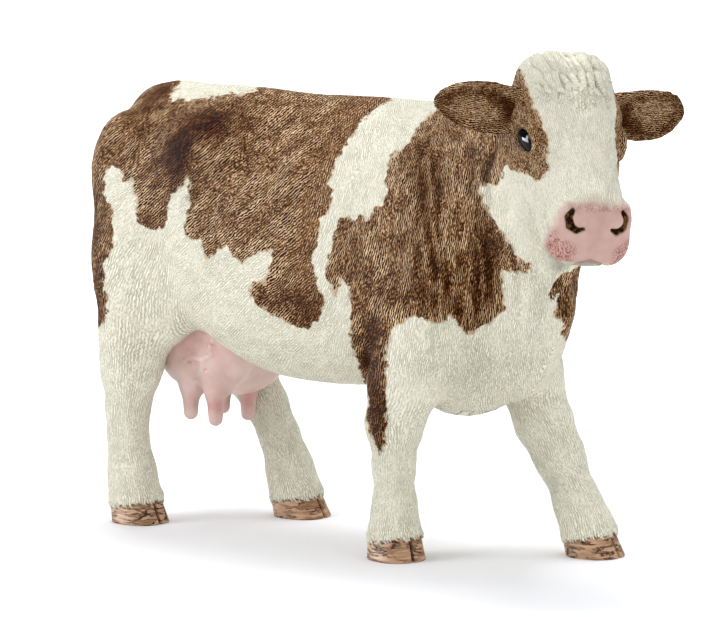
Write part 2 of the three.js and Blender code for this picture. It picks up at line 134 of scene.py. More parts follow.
def ball(centre, radii, rotation=turn(), reach=melt, way=1):
    """A lump with three radii. Its distance is right near the surface, which is all that melting needs."""
    centre, radii = np.array(centre, float), np.array(radii, float)
    spread = np.sqrt(rotation ** 2 @ radii ** 2)

    def distance(p):
        q = (p - centre) @ rotation / radii
        outer = np.sqrt((q * q).sum(-1))
        q /= radii
        slope = np.sqrt((q * q).sum(-1)) + 1e-9
        return outer * (outer - 1) / slope
    return Form(distance, centre - spread, centre + spread, reach, way)


def limb(start, start_radius, end, end_radius, reach=melt, way=1):
    """A sausage from one place to another, with a radius at either end."""
    start, end = np.array(start, float), np.array(end, float)
    axis = end - start
    thick = max(start_radius, end_radius)

    def distance(p):
        q = p - start
        along = np.clip(q @ axis / (axis @ axis), 0, 1)
        q = q - along[..., None] * axis
        return np.sqrt((q * q).sum(-1)) - (start_radius + along * (end_radius - start_radius))
    return Form(distance, np.minimum(start, end) - thick, np.maximum(start, end) + thick, reach, way)


def chain(places, radii, reach, way=1):
    """A limb with many joints."""
    return [limb(places[i], radii[i], places[i + 1], radii[i + 1], reach, way)
            for i in range(len(places) - 1)]


def melted(a, b, reach):
    """The nearer of two distances, less where they are within reach of each other."""
    overlap = np.maximum(reach - np.abs(a - b), 0) / reach
    return np.minimum(a, b) - overlap * overlap * reach / 4


body_size = np.array([body_length, body_width, back_height], float)

# %% Body forms, as shares of the body's sizes
# Centre x, y, z, radii x, y, z, heading and pitch in degrees, and reach as a share of melt
barrel = [
    [0.08, 0, 0.67, 0.26, 0.44, 0.3, 0, 0, 1],  # chest barrel
    [-0.12, 0, 0.65, 0.29, 0.5, 0.305, 0, 0, 1.3],  # belly
    [-0.32, 0, 0.72, 0.2, 0.42, 0.24, 0, 0, 1.3],  # loin and rump
    [0.17, 0, 0.825, 0.11, 0.17, 0.125, 0, 0, 1],  # withers
    [-0.46, 0, 0.79, 0.07, 0.25, 0.15, 0, 0, 1],  # tail head
    [0.26, 0, 0.59, 0.12, 0.25, 0.22, 0, 0, 1],  # breast
    [0.18, 0, 0.41, 0.1, 0.2, 0.105, 0, 0, 0.8],  # brisket
]
paired = [
    [-0.27, 0.29, 0.86, 0.07, 0.11, 0.06, 0, 0, 1.2],  # hook bones
    [-0.47, 0.24, 0.79, 0.055, 0.13, 0.13, 0, 0, 1],  # pin bones
    [-0.4, 0.25, 0.62, 0.12, 0.22, 0.23, 0, -7, 0.45],  # thighs
    [0.185, 0.26, 0.705, 0.1, 0.2, 0.215, 0, 12, 0.8],  # shoulder blades
    [0.185, 0.27, 0.535, 0.085, 0.18, 0.15, 0, 0, 0.7],  # upper arms
]
neck = [
    [0.26, -0.025, 0.77, 0.13, 0.275, 0.195, 0, 10, 1.1],
    [0.34, -0.1, 0.83, 0.11, 0.22, 0.19, -20, 0, 1],
    [0.39, -0.16, 0.9, 0.09, 0.2, 0.145, -25, 0, 0.8],
    [0.42, -0.21, 0.77, 0.07, 0.15, 0.11, -30, -30, 0.8],  # throat
]
# Limbs: place x, y, z, then a thickness as a share
back_line = [[0.18, 0, 0.858, 0.18], [-0.4, 0, 0.886, 0.175]]
dewlap = [[0.43, -0.25, 0.76, 0.1], [0.36, -0.1, 0.57, 0.11], [0.3, -0.025, 0.43, 0.11]]


def body_ball(row, side=1):
    """A row of the tables as a ball, on the left of the body or with side=-1 on the right."""
    x, y, z, rx, ry, rz, heading, pitch, reach = row
    return ball(body_size * [x, side * y, z], body_size * [rx, ry, rz], turn(heading, pitch), reach * melt)


def body_limbs(rows, thickness, reach):
    """Rows of place and thickness as a chain of limbs."""
    rows = np.array(rows)
    return chain(rows[:, :3] * body_size, rows[:, 3] * thickness, reach * melt)


trunk = [body_ball(row) for row in barrel]
trunk += [body_ball(row, side) for row in paired for side in (1, -1)]
trunk += body_limbs(back_line, body_width, 1)
trunk += [body_ball(row) for row in neck]
trunk += body_limbs(dewlap, body_width, 0.8)
tail_root = [-0.46, 0, 0.915, 0.06, 0.1, 0.057, 0, 0, 0.8]  # a slight swelling that the CAD model leaves out
trunk += [body_ball(tail_root)]

# %% Head forms, as shares of the head's length
# Centre forward along the face, left, up from the face, three radii, pitch in degrees, reach
poll = body_size * [0.438, -0.165, 1.068]
head_turn = turn(-32, -47, -7)
skull = [
    [0.13, 0, -0.22, 0.27, 0.27, 0.24, 0, 0.5],  # skull
    [0.37, 0, -0.28, 0.3, 0.25, 0.25, 0, 0.6],  # face
    [0.8, 0.01, -0.23, 0.115, 0.2, 0.185, 38, 0.5],  # muzzle
]
cheeks = [
    [0.15, 0.12, -0.125, 0.2, 0.195, 0.155, 0, 0.4],  # forehead
    [0.6, 0.06, -0.19, 0.33, 0.15, 0.16, -3, 0.5],  # bridge of the nose
    [-0.01, 0.1, -0.05, 0.16, 0.165, 0.13, 0, 0.4],  # tuft on the poll
    [0.3, 0.14, -0.4, 0.25, 0.11, 0.18, 0, 0.5],  # jaw muscles
    [0.33, 0.165, -0.115, 0.15, 0.075, 0.08, 0, 0.4],  # brows
    [0.88, 0.115, -0.28, 0.1, 0.095, 0.08, 0, 0.4],  # lips
]


def head_place(*shares):
    """A place in the head's own axes, in mm."""
    return np.array(shares) * head_length @ head_turn.T + poll


def head_ball(row, side=1):
    """A row of the tables as a ball, on the left of the head or with side=-1 on the right."""
    x, y, z, rx, ry, rz, pitch, reach = row
    return ball(head_place(x, side * y, z), np.array([rx, ry, rz]) * head_length,
                head_turn @ turn(0, pitch), reach * melt)


head = [head_ball(row) for row in skull]
head += [head_ball(row, side) for row in cheeks for side in (1, -1)]
head += [limb(head_place(0.3, 0, -0.43), 0.145 * head_length,
              head_place(0.8, 0, -0.32), 0.1 * head_length, melt / 2)]

# %% Legs: path x, y, z and thickness, then the hoof's place and heading, and the seam's height
Leg = namedtuple("Leg", "path hoof seam")
legs = {
    "front_right_leg": Leg([[0.19, -0.29, 0.5, 0.66], [0.15, -0.29, 0.39, 0.55], [0.13, -0.29, 0.3, 0.43],
                            [0.128, -0.29, 0.203, 0.3], [0.13, -0.29, 0.12, 0.31],
                            [0.132, -0.29, 0.06, 0.4]], [0.134, -0.29, -12], 0.325),
    "front_left_leg": Leg([[0.2, 0.275, 0.5, 0.66], [0.222, 0.28, 0.39, 0.53], [0.255, 0.285, 0.28, 0.43],
                           [0.285, 0.29, 0.21, 0.37], [0.32, 0.29, 0.12, 0.33],
                           [0.348, 0.29, 0.06, 0.42]], [0.36, 0.29, 8], 0.325),
    "hind_right_leg": Leg([[-0.42, -0.285, 0.53, 0.66], [-0.435, -0.285, 0.43, 0.56],
                           [-0.445, -0.28, 0.35, 0.48], [-0.455, -0.275, 0.26, 0.33],
                           [-0.455, -0.275, 0.19, 0.3], [-0.447, -0.275, 0.12, 0.35],
                           [-0.436, -0.275, 0.06, 0.42]], [-0.427, -0.275, 0], 0.42),
    "hind_left_leg": Leg([[-0.4, 0.285, 0.53, 0.66], [-0.4, 0.285, 0.42, 0.52],
                          [-0.38, 0.28, 0.32, 0.41], [-0.34, 0.275, 0.25, 0.33],
                          [-0.31, 0.275, 0.18, 0.3], [-0.288, 0.275, 0.115, 0.34],
                          [-0.27, 0.275, 0.06, 0.41]], [-0.258, 0.275, 8], 0.42),
}


def leg_forms(leg):
    return body_limbs(leg.path, leg_thickness, 0.4)


def hoof_form(leg, swell=0.0):
    """A hoof and the pastern over it. It slants in from the ground up, most at the toe, follows the
    leg's lean, and closes inside the leg."""
    x, y, heading = leg.hoof
    middle = np.array([x * body_length, y * body_width, 0])
    half_length, half_width = 0.465 * hoof_length + swell, 0.46 * hoof_width + swell
    heights = [0] + [row[2] * back_height for row in leg.path[:-3:-1]]
    shifts = [0] + [(row[0] - x) * body_length for row in leg.path[:-3:-1]]

    def distance(p):
        forward, aside, lift = ((p - middle) @ turn(heading)).reshape(-1, 3).T
        forward = forward - np.interp(lift, heights, shifts) + 0.04 * lift
        # 1 on the outline at the ground, an oblong with round corners
        ring = (np.abs(forward / half_length) ** 2.5 + np.abs(aside / half_width) ** 2.5) ** 0.4
        taper = 0.02 + 0.02 * smooth_step(0, half_length, forward)
        wall = (ring - 1 + taper * lift + 0.011 * np.maximum(lift - 3, 0) ** 2) * half_width
        # in mm, down the middle of the toe's front
        cleft = 0.55 * smooth_step(0.45, 0.1, np.abs(aside)) * smooth_step(0.5, 2.0, forward)
        return (wall + cleft).reshape(p.shape[:-1])
    reach = np.array([hoof_length, hoof_length, hoof_height * 2.6])
    return Form(distance, middle - reach, middle + reach, 1.6, 1)


def hair_line(leg, points):
    """How high the coat ends above the ground: lower at the heel, ragged all round."""
    middle = np.array([leg.hoof[0] * body_length, leg.hoof[1] * body_width, 0])
    forward = (points - middle) @ turn(leg.hoof[2])[:, 0]
    ragged = rough(points.reshape(-1, 3) * [1.4, 1.4, 0], 8).reshape(forward.shape)
    return 3.4 + 0.18 * forward + 0.25 * ragged


limbs = [form for leg in legs.values() for form in leg_forms(leg)]
print("forms:", len(trunk), "trunk,", len(head), "head,", len(limbs), "limbs")

# %% [markdown]
# ## From forms to a mesh
#
# The distance is worked out on a grid of small cells, and one vertex goes into every cell that the
# surface passes through. Neighbouring cells then share four-sided faces: this is known as *surface
# nets*. It never leaves a hole, and its faces are all about one cell across, which is just right
# for a fine relief. Blender's own metaballs and voxel remesher could make such a skin too, but they
# give no say in how each form melts, and the CAD solids would no longer match.

# %% Surface nets
corners = np.array([[i, j, k] for i in (0, 1) for j in (0, 1) for k in (0, 1)])


class Clay:
    """A block of space in which forms melt together. field holds the distance at each grid point."""

    def __init__(self, low, high, step):
        self.step, self.low = step, np.array(low, float)
        self.size = np.ceil((np.array(high) - self.low) / step).astype(int) + 1
        self.field = np.full(self.size, 20.0, np.float32)

    def points(self, start=(0, 0, 0), end=None):
        """The grid's places in mm, of the whole block or of a part of it."""
        spans = [np.arange(a, b) for a, b in zip(start, self.size if end is None else end)]
        grid = np.stack(np.meshgrid(*spans, indexing="ij"), -1)
        return self.low + grid * self.step

    def add(self, forms):
        """Melts forms into the block one by one, each only where it reaches."""
        for form in forms:
            room = form.reach + 3
            start = np.clip(np.floor((form.low - room - self.low) / self.step), 0, self.size).astype(int)
            end = np.clip(np.ceil((form.high + room - self.low) / self.step) + 1, 0, self.size).astype(int)
            if (end <= start).any():
                continue
            part = tuple(slice(a, b) for a, b in zip(start, end))
            there = form.distance(self.points(start, end))
            self.field[part] = form.way * melted(form.way * self.field[part], there, form.reach)
        return self

    def sample(self, points, values=None):
        """The field between grid points, by mixing the eight corners of a cell."""
        values = self.field if values is None else values
        place = np.clip((points - self.low) / self.step, 0, self.size - 1.001)
        cell = place.astype(int)
        part = place - cell
        total = 0
        for corner in corners:
            weight = np.where(corner, part, 1 - part).prod(-1)
            total = total + weight * values[tuple((cell + corner).T)]
        return total

    def slope(self, points):
        """Which way the distance grows, as unit vectors: straight out of the surface."""
        steps = np.eye(3) * self.step
        ways = np.stack([self.sample(points + s) - self.sample(points - s) for s in steps], -1)
        return ways / (np.linalg.norm(ways, axis=-1, keepdims=True) + 1e-9)

    def net(self, limits=None):
        """Vertices and four-sided faces of the surface, cut off where limits are above zero."""
        field = self.field if limits is None else np.maximum(self.field, limits)
        for axis in range(3):
            np.moveaxis(field, axis, 0)[[0, -1]] = 1
        inside = field < 0

        def moved(array, corner):
            return array[tuple(slice(c, c + n - 1) for c, n in zip(corner, self.size))]
        count = sum(moved(inside, corner).astype(np.int8) for corner in corners)
        active = (count > 0) & (count < 8)
        where = np.argwhere(active)
        number = np.full(active.shape, -1, np.int32)
        number[active] = np.arange(len(where))
        total, hits = np.zeros((len(where), 3)), np.zeros(len(where))
        for corner in corners:
            for axis in np.flatnonzero(corner == 0):
                way = np.eye(3, dtype=int)[axis]
                near = field[tuple((where + corner).T)]
                far = field[tuple((where + corner + way).T)]
                crossed = (near < 0) != (far < 0)
                share = near[crossed] / (near[crossed] - far[crossed])
                total[crossed] += corner + share[:, None] * way
                hits[crossed] += 1
        vertices = self.low + self.step * (where + total / hits[:, None])
        faces = []
        for axis in range(3):
            first = [slice(None)] * 3
            first[axis] = slice(0, -1)
            second = [slice(None)] * 3
            second[axis] = slice(1, None)
            a, b = inside[tuple(first)], inside[tuple(second)]
            edges = np.argwhere(a != b)
            one, two = (axis + 1) % 3, (axis + 2) % 3
            around = []
            for i, j in ((-1, -1), (0, -1), (0, 0), (-1, 0)):
                cell = edges.copy()
                cell[:, one] += i
                cell[:, two] += j
                around.append(number[tuple(cell.T)])
            quads = np.stack(around, 1)
            outward = a[tuple(edges.T)]
            quads[~outward] = quads[~outward][:, ::-1]
            faces.append(quads)
        return vertices, np.concatenate(faces)


def settle(clay, vertices, faces, limits=None, rounds=2):
    """Evens out the vertices, then pulls them back onto the surface."""
    field = clay.field if limits is None else np.maximum(clay.field, limits)
    pairs = np.concatenate([faces[:, [i, (i + 1) % 4]] for i in range(4)])
    for _ in range(rounds):
        count = np.bincount(pairs.ravel(), minlength=len(vertices))[:, None]
        total = np.stack([np.bincount(pairs[:, 0], vertices[pairs[:, 1], k], len(vertices))
                          + np.bincount(pairs[:, 1], vertices[pairs[:, 0], k], len(vertices))
                          for k in range(3)], 1)
        moved = vertices + 0.5 * (total / count - vertices)
        free = clay.sample(vertices, field) - clay.sample(vertices) < 1e-3
        moved -= clay.slope(moved) * clay.sample(moved)[:, None]
        vertices = np.where(free[:, None], moved, vertices)
    return vertices


def smooth_step(edge0, edge1, value):
    """0 at the first edge, 1 at the second, smooth between them."""
    t = np.clip((value - edge0) / (edge1 - edge0), 0, 1)
    return t * t * (3 - 2 * t)


def near_line(points, line):
    """How far points are from a line of straight stretches."""
    nearest = np.full(len(points), np.inf)
    for start, end in zip(line[:-1], line[1:]):
        edge, offset = end - start, points - start
        share = np.clip(offset @ edge / (edge @ edge), 0, 1)
        nearest = np.minimum(nearest, np.linalg.norm(offset - share[:, None] * edge, axis=1))
    return nearest


print("ready to cast")

# %% [markdown]
# ## The coat
#
# Up close the coat is thousands of short combed strokes, 0.4 mm wide and not quite 1 mm long. They lean
# back and down on the flank, hang straight on legs and neck, and fan out from the forehead. Hair as
# strands would be far too fine for a moulding. So each vertex carries *comb* coordinates: its place,
# bent so that the strokes run along one axis, and measured in stroke widths and lengths. The first
# of them has to change along the surface everywhere, so it is counted round the legs and round the
# rump. The mesh takes coarse locks from a noise at those coordinates. The material reads a wave
# pattern at them, whose crests are broken up by noise: those are the fine strokes. Where two ways
# of combing meet, the heights of both are mixed, since mixed coordinates would smear. Where a way of
# combing can't help running along its own strokes, as high on the rump, the mesh says so, and the
# material draws short strokes from the noise alone: else rings like wood grain would show there.

# %% Roughness and comb
stroke_width, stroke_length = 0.41, 0.74  # mm, from one stroke to the next
neck_stroke = 1.15  # strokes of neck and legs, as a share of the flank's
face_stroke = 0.7  # strokes of head and ears, as a share of the flank's
leg_round = 5.0  # mm: strokes are counted round a leg as if it had this radius
rump_start, rump_round = -34, 18  # mm: behind this x they are counted round the rump, of this radius
lean_start, lean_soft, lean_slope = 34, 5, 0.5  # strokes on the trunk lean back above this height in mm


def rough(points, seed=0):
    """Smooth random values from -1 to 1, one hill or hollow to a unit."""
    cell = np.floor(points).astype(np.int64)
    part = points - cell
    part = part * part * (3 - 2 * part)
    total = 0
    for corner in corners:
        key = ((cell + corner) * [73856093, 19349663, 83492791]).sum(-1) + seed * 1013904223
        key = ((key ^ (key >> 13)) * 1274126177) & 0x7FFFFFFF
        key = ((key ^ (key >> 15)) * 668265263) & 0x7FFFFFFF
        total = total + np.where(corner, part, 1 - part).prod(-1) * (key / 2 ** 30 - 1)
    return total


def locks(comb, seed=5):
    """Coarse locks of a coat, a few strokes wide, from -1 to 1."""
    return 0.6 * rough(comb / 2.8, seed) + 0.4 * rough(comb / 1.6, seed + 1)


def wavy(points, size, amount, seed):
    """Moves points about a little, so that strokes don't run dead straight."""
    return points + amount * np.stack([rough(points / size, seed + k) for k in range(3)], -1)


def off_middle(x, y):
    """How far points are from the middle of the body, which bends to the right along the neck."""
    return np.abs(y - np.interp(x, [22, 30, 36, 43], [0, -0.5, -2, -4]))


def upright_comb(points):
    """Strokes that stand nearly upright, counted along the side and round the rump or across the breast."""
    x, y, z = wavy(points, 6, 0.6, 1).T
    lean = lean_soft * lean_slope * (np.logaddexp(0, (z - lean_start) / lean_soft) - math.log(2))
    behind = np.maximum(rump_start - x, 0)
    along = np.maximum(x, rump_start) - rump_round * np.arctan2(behind, np.abs(y) + 2)
    along = along - off_middle(x, y) * smooth_step(-26, -6, x) - lean * (1 - 0.6 * smooth_step(5, 35, x))
    return np.stack([along / stroke_width, y / stroke_width, z / stroke_length], -1) / neck_stroke


def legs_comb(points):
    """Strokes down a leg, counted round it, and their share: all below the leg's seam, fading above it."""
    bent = wavy(points, 4, 0.5, 1)
    comb, share = np.zeros_like(points), np.zeros(len(points))
    for leg in legs.values():
        path = np.array(leg.path)[::-1] * [body_length, body_width, back_height, 1]
        forward, left = [bent[:, k] - np.interp(bent[:, 2], path[:, 2], path[:, k]) for k in (0, 1)]
        away = np.hypot(forward, left)
        over_seam = points[:, 2] - leg.seam * back_height
        here = smooth_step(10, 7, away) * smooth_step(8, 0, over_seam)
        own = np.stack([np.arctan2(left, forward) * leg_round / stroke_width, away / stroke_width,
                        1.3 * bent[:, 2] / stroke_length], -1) / neck_stroke
        comb[here > 0] = own[here > 0]
        share = np.maximum(share, np.where(over_seam < 0, away < 12, here))
    return comb, share


def flank_comb(points, lean=52):
    """Strokes that lean forward from upright by an angle in degrees: on flank and belly."""
    x, y, z = wavy(points, 5, 0.5, 3).T
    s, c = math.sin(math.radians(lean)), math.cos(math.radians(lean))
    across = x * c - z * s - 0.3 * np.abs(y)
    return np.stack([across / stroke_width, y / stroke_width, (x * s + z * c) / stroke_length], -1)


def flank_share(points):
    """Where strokes lie as on the flank: from the shoulder back to the rump, high up to the tail head."""
    x, y, z = points.T
    high = smooth_step(46, 56, z) * smooth_step(-48, -41, x)
    return smooth_step(8, -6, x) * np.maximum(smooth_step(-34, -24, x), high)


def face_comb(points):
    """Strokes fan out from the forehead along the face."""
    x, y, z = ((wavy(points, 5, 0.4, 7) - poll) @ head_turn).T
    fan = 1 / (1 + np.maximum(x, -10) / 45)
    across = y * fan - 0.8 * z * np.tanh(y / 2)
    return np.stack([across / stroke_width, z / stroke_width, x / stroke_length], -1) / face_stroke


print("stroke, mm:", stroke_width, "x", stroke_length)

# %% [markdown]
# ## The patches
#
# The brown patches are sprayed through masks, one from each side. Their outlines were chosen
# on the photograph, point by point, and are read through the same camera: a vertex is brown if it
# lands inside an outline. What the photograph can't show, the far side, has outlines of its own,
# drawn as if the cow were mirrored, so that they meet the near ones along the spine. The mesh stores
# how far each vertex is from the edge, in mm. The material turns that into a ragged edge. An image
# texture could hold the patches too, but it would need a UV map and would blur close up.

# %% Patch outlines, in pixels of the photograph
rump_top = [(80, 60), (178, 60), (180, 83), (169, 98), (173, 101), (183, 98), (186, 101), (216, 96),
            (256, 91), (262, 60), (396, 60)]
flank_patch = rump_top + [
    (393, 99), (370, 111), (357, 129), (338, 157), (329, 183), (332, 189), (330, 208), (320, 220),
    (317, 244), (311, 260), (317, 278), (325, 303), (319, 319), (307, 329), (288, 323), (268, 312),
    (256, 305), (250, 291), (251, 282), (264, 283), (265, 276), (274, 256), (269, 249), (260, 252),
    (241, 264), (226, 246), (207, 259), (199, 239), (189, 239), (184, 228), (190, 204), (187, 198),
    (190, 181), (188, 176), (183, 185), (169, 198), (166, 226), (152, 231), (138, 222), (135, 196),
    (132, 179), (122, 182), (121, 173), (111, 162), (104, 180), (104, 195), (109, 205), (114, 210),
    (113, 230), (114, 245), (112, 252), (103, 263), (104, 285), (107, 297), (108, 310), (106, 320),
    (92, 332), (80, 332)]
neck_patch = [
    (435, 111), (420, 123), (408, 144), (390, 155), (386, 173), (386, 193), (381, 206), (373, 206),
    (370, 220), (361, 215), (350, 221), (346, 214), (340, 216), (335, 234), (332, 248), (325, 266),
    (327, 283), (335, 295), (340, 287), (341, 278), (349, 287), (351, 307), (350, 340), (365, 385),
    (369, 406), (365, 419), (374, 443), (379, 455), (385, 443), (387, 406), (387, 363), (385, 350),
    (393, 329), (401, 324), (416, 316), (438, 325), (451, 316), (467, 335), (496, 320), (505, 308),
    (502, 272), (532, 272), (530, 264), (514, 255), (501, 229), (485, 208), (480, 185), (491, 184),
    (500, 189), (504, 165), (538, 180), (549, 171), (549, 144), (543, 123), (533, 104), (524, 75),
    (509, 60), (437, 60)]
chest_patch = [(578, 267), (565, 280), (557, 300), (553, 316), (565, 324), (562, 335), (567, 343),
               (566, 366), (600, 366), (600, 215), (550, 215), (556, 256)]
far_flank_patch = rump_top + [
    (393, 99), (384, 122), (371, 150), (375, 184), (366, 214), (350, 231), (344, 262), (330, 288),
    (303, 300), (284, 289), (271, 262), (249, 251), (240, 228), (222, 215), (204, 223), (195, 205),
    (180, 196), (172, 172), (152, 160), (140, 176), (128, 204), (124, 240), (116, 275), (112, 300),
    (104, 332), (80, 336)]
far_neck_patch = [
    (435, 100), (424, 130), (412, 160), (416, 190), (402, 212), (396, 248), (402, 290), (418, 318),
    (436, 352), (452, 330), (470, 322), (488, 344), (506, 322), (522, 334), (540, 322), (556, 344),
    (572, 366), (640, 366), (640, 60), (437, 60)]

# The far side of the head is the near one mirrored, but its brown runs on into the far neck
notch = neck_patch.index((502, 272))
far_head_patch = neck_patch[:notch] + [(562, 345), (562, 276)] + neck_patch[notch + 2:]


def within(outline, spots):
    """How far inside an outline each spot is, less than nothing outside."""
    starts = np.array(outline, float)
    nearest = np.full(len(spots), np.inf)
    inside = np.zeros(len(spots), bool)
    for start, end in zip(starts, np.roll(starts, -1, 0)):
        edge, offset = end - start, spots - start
        share = np.clip(offset @ edge / (edge @ edge), 0, 1)
        nearest = np.minimum(nearest, np.linalg.norm(offset - share[:, None] * edge, axis=1))
        if start[1] != end[1]:
            level = (start[1] > spots[:, 1]) != (end[1] > spots[:, 1])
            inside ^= level & (offset[:, 0] < edge[0] * offset[:, 1] / edge[1])
    return np.where(inside, nearest, -nearest)


def patch_depth(points, outlines):
    """How many mm deep points in mm lie inside any of the outlines."""
    spots = pictured(points)
    pixels_per_mm = camera_focus / camera_distance
    return np.max([within(outline, spots) for outline in outlines], 0) / pixels_per_mm


def body_patches(points, normals):
    """The near outlines where the camera sees the body, the far ones where it doesn't."""
    near = patch_depth(points, [flank_patch, neck_patch, chest_patch])
    far = patch_depth(points * [1, -1, 1], [far_flank_patch, far_neck_patch])
    seen = smooth_step(-0.12, 0.12, normals @ camera_back)
    return near * seen + far * (1 - seen)


def head_patches(points):
    """The near outline right of the middle of the face, the far one left of it."""
    local = (points - poll) @ head_turn
    mirrored = (local * [1, -1, 1]) @ head_turn.T + poll
    near, far = patch_depth(points, [neck_patch]), patch_depth(mirrored, [far_head_patch])
    seen = smooth_step(1.5, -1.5, local[:, 1])
    return near * seen + far * (1 - seen)


outlines = [flank_patch, neck_patch, chest_patch, far_flank_patch, far_neck_patch]
print("outline points:", sum(map(len, outlines)))

# %% [markdown]
# ## From vertices to a Blender piece
#
# A piece is a plain mesh in metres with its place in its vertices, so its object stays at the
# origin. What the paint needs to know goes along as attributes, one value to a vertex: Cycles
# reads them, and no UV map has to be unwrapped from a shape like this.

# %% Making a piece
quick_factor = 1.0  # coarser cells while trying things
pieces = {}
print("cells are", quick_factor, "times their full size")


def write_values(mesh, values):
    """Stores a value or a vector on every vertex, under its name."""
    for key, column in values.items():
        kind, field = ("FLOAT_VECTOR", "vector") if column.ndim > 1 else ("FLOAT", "value")
        mesh.attributes.new(key, kind, "POINT").data.foreach_set(field, column.astype(np.float32).ravel())


def make_piece(name, vertices, faces, materials, attributes=None):
    """A Blender object from vertices in mm, with its place in them and its attributes on them."""
    mesh = bpy.data.meshes.new(name)
    sides = faces.shape[1]
    mesh.vertices.add(len(vertices))
    mesh.vertices.foreach_set("co", ((vertices + figure_shift) * mm).astype(np.float32).ravel())
    mesh.loops.add(faces.size)
    mesh.loops.foreach_set("vertex_index", faces.astype(np.int32).ravel())
    mesh.polygons.add(len(faces))
    mesh.polygons.foreach_set("loop_start", np.arange(0, faces.size, sides, dtype=np.int32))
    mesh.polygons.foreach_set("use_smooth", np.ones(len(faces), bool))
    for material in materials:
        mesh.materials.append(material)
    write_values(mesh, attributes or {})
    mesh.update(calc_edges=True)
    mesh.validate()
    piece = bpy.data.objects.new(name, mesh)
    bpy.context.scene.collection.objects.link(piece)
    pieces[name] = piece
    print(f"{name}: {len(vertices)} vertices, {len(faces) * (sides - 2)} triangles,"
          f" {time.time() - started:.0f} s")
    return piece

# %% [markdown]
# ## Paint
#
# The figure is soft PVC. The cream coat is the dull colour of the moulding with a thin matt paint,
# and the brown is dry-brushed: a dark wash stays in the grooves and a lighter tan catches the
# ridges. Colour could be painted on by hand apart from the relief, but then the two would drift
# apart. So one height, read at the comb coordinates, gives both together, as on the real thing. A
# stroke is 2 to 3 pixels wide in the photograph, and a pixel is 0.16 mm. Object coordinates are in
# metres, so a noise's scale is written as hills to a millimetre, over mm.

# %% Colours and nodes
def colour(code, alpha=1.0):
    """An sRGB hex colour as the linear one that shaders need."""
    parts = [int(code[i:i + 2], 16) / 255 for i in (1, 3, 5)]
    return tuple(c / 12.92 if c <= 0.04045 else ((c + 0.055) / 1.055) ** 2.4 for c in parts) + (alpha,)


def add(tree, kind, inputs=(), output=0, **settings):
    """Adds a node with its settings, and its inputs as values or links. Gives one of its outputs."""
    made = tree.nodes.new(kind)
    for key, value in settings.items():
        setattr(made, key, value)
    for key, value in inputs.items() if isinstance(inputs, dict) else enumerate(inputs):
        if isinstance(value, bpy.types.NodeSocket):
            tree.links.new(value, made.inputs[key])
        else:
            made.inputs[key].default_value = value
    return made.outputs[output] if len(made.outputs) else None


def new_material(name, roughness, **inputs):
    """A material with its tree and its shader. inputs go straight onto the shader's sockets."""
    material = bpy.data.materials.new(name)
    material.use_nodes = True
    shader = material.node_tree.nodes["Principled BSDF"]
    shader.inputs["Roughness"].default_value = roughness
    for key, value in inputs.items():
        shader.inputs[key.replace("_", " ")].default_value = value
    return material, material.node_tree, shader

# %% The strokes of the coat
def comb_strokes(tree):
    """Height of the combed strokes from 0 to 1: runs of ridges with thin grooves between them.

    A wave texture has a crest every 0.314 / Scale units, here one to a stroke width. A noise breaks
    its crests up where the coat is less tidy, and where the wave would smear.
    """
    heights = []
    smear = add(tree, "ShaderNodeAttribute", output="Fac", attribute_name="smear")
    for key in ("comb", "comb_aside"):
        comb = add(tree, "ShaderNodeAttribute", output="Vector", attribute_name=key)
        run = add(tree, "ShaderNodeTexWave", {"Vector": comb, "Scale": 0.314, "Distortion": 5.0,
                                              "Detail": 1.0, "Detail Scale": 3.4,
                                              "Detail Roughness": 0.5}, output=1)
        ridge = add(tree, "ShaderNodeMapRange", [run, 0.22, 0.8, 0.0, 1.0])
        fine = add(tree, "ShaderNodeTexNoise", {"Vector": comb, "Scale": 1.7, "Detail": 1.0,
                                                "Roughness": 0.6})
        fine = add(tree, "ShaderNodeMapRange", [fine, 0.37, 0.66, 0.0, 1.0])
        calm = add(tree, "ShaderNodeTexNoise", {"Vector": comb, "Scale": 0.2, "Detail": 1.0})
        calm = add(tree, "ShaderNodeMapRange", [calm, 0.4, 0.64, 0.0, 0.8])
        calm = add(tree, "ShaderNodeMath", [calm, smear], operation="MAXIMUM")
        heights.append(add(tree, "ShaderNodeMix", {0: calm, 2: ridge, 3: fine}))
    share = add(tree, "ShaderNodeAttribute", output="Fac", attribute_name="aside")
    return add(tree, "ShaderNodeMix", {0: share, 2: heights[0], 3: heights[1]})

# %% The painted coat
# From the groove of a stroke, where the wash stays, to its ridge, which the dry brush catches
brown_stops = [(0.0, "#281000"), (0.3, "#47260b"), (0.6, "#87623e"), (0.82, "#b99670"), (1.0, "#d9b892")]


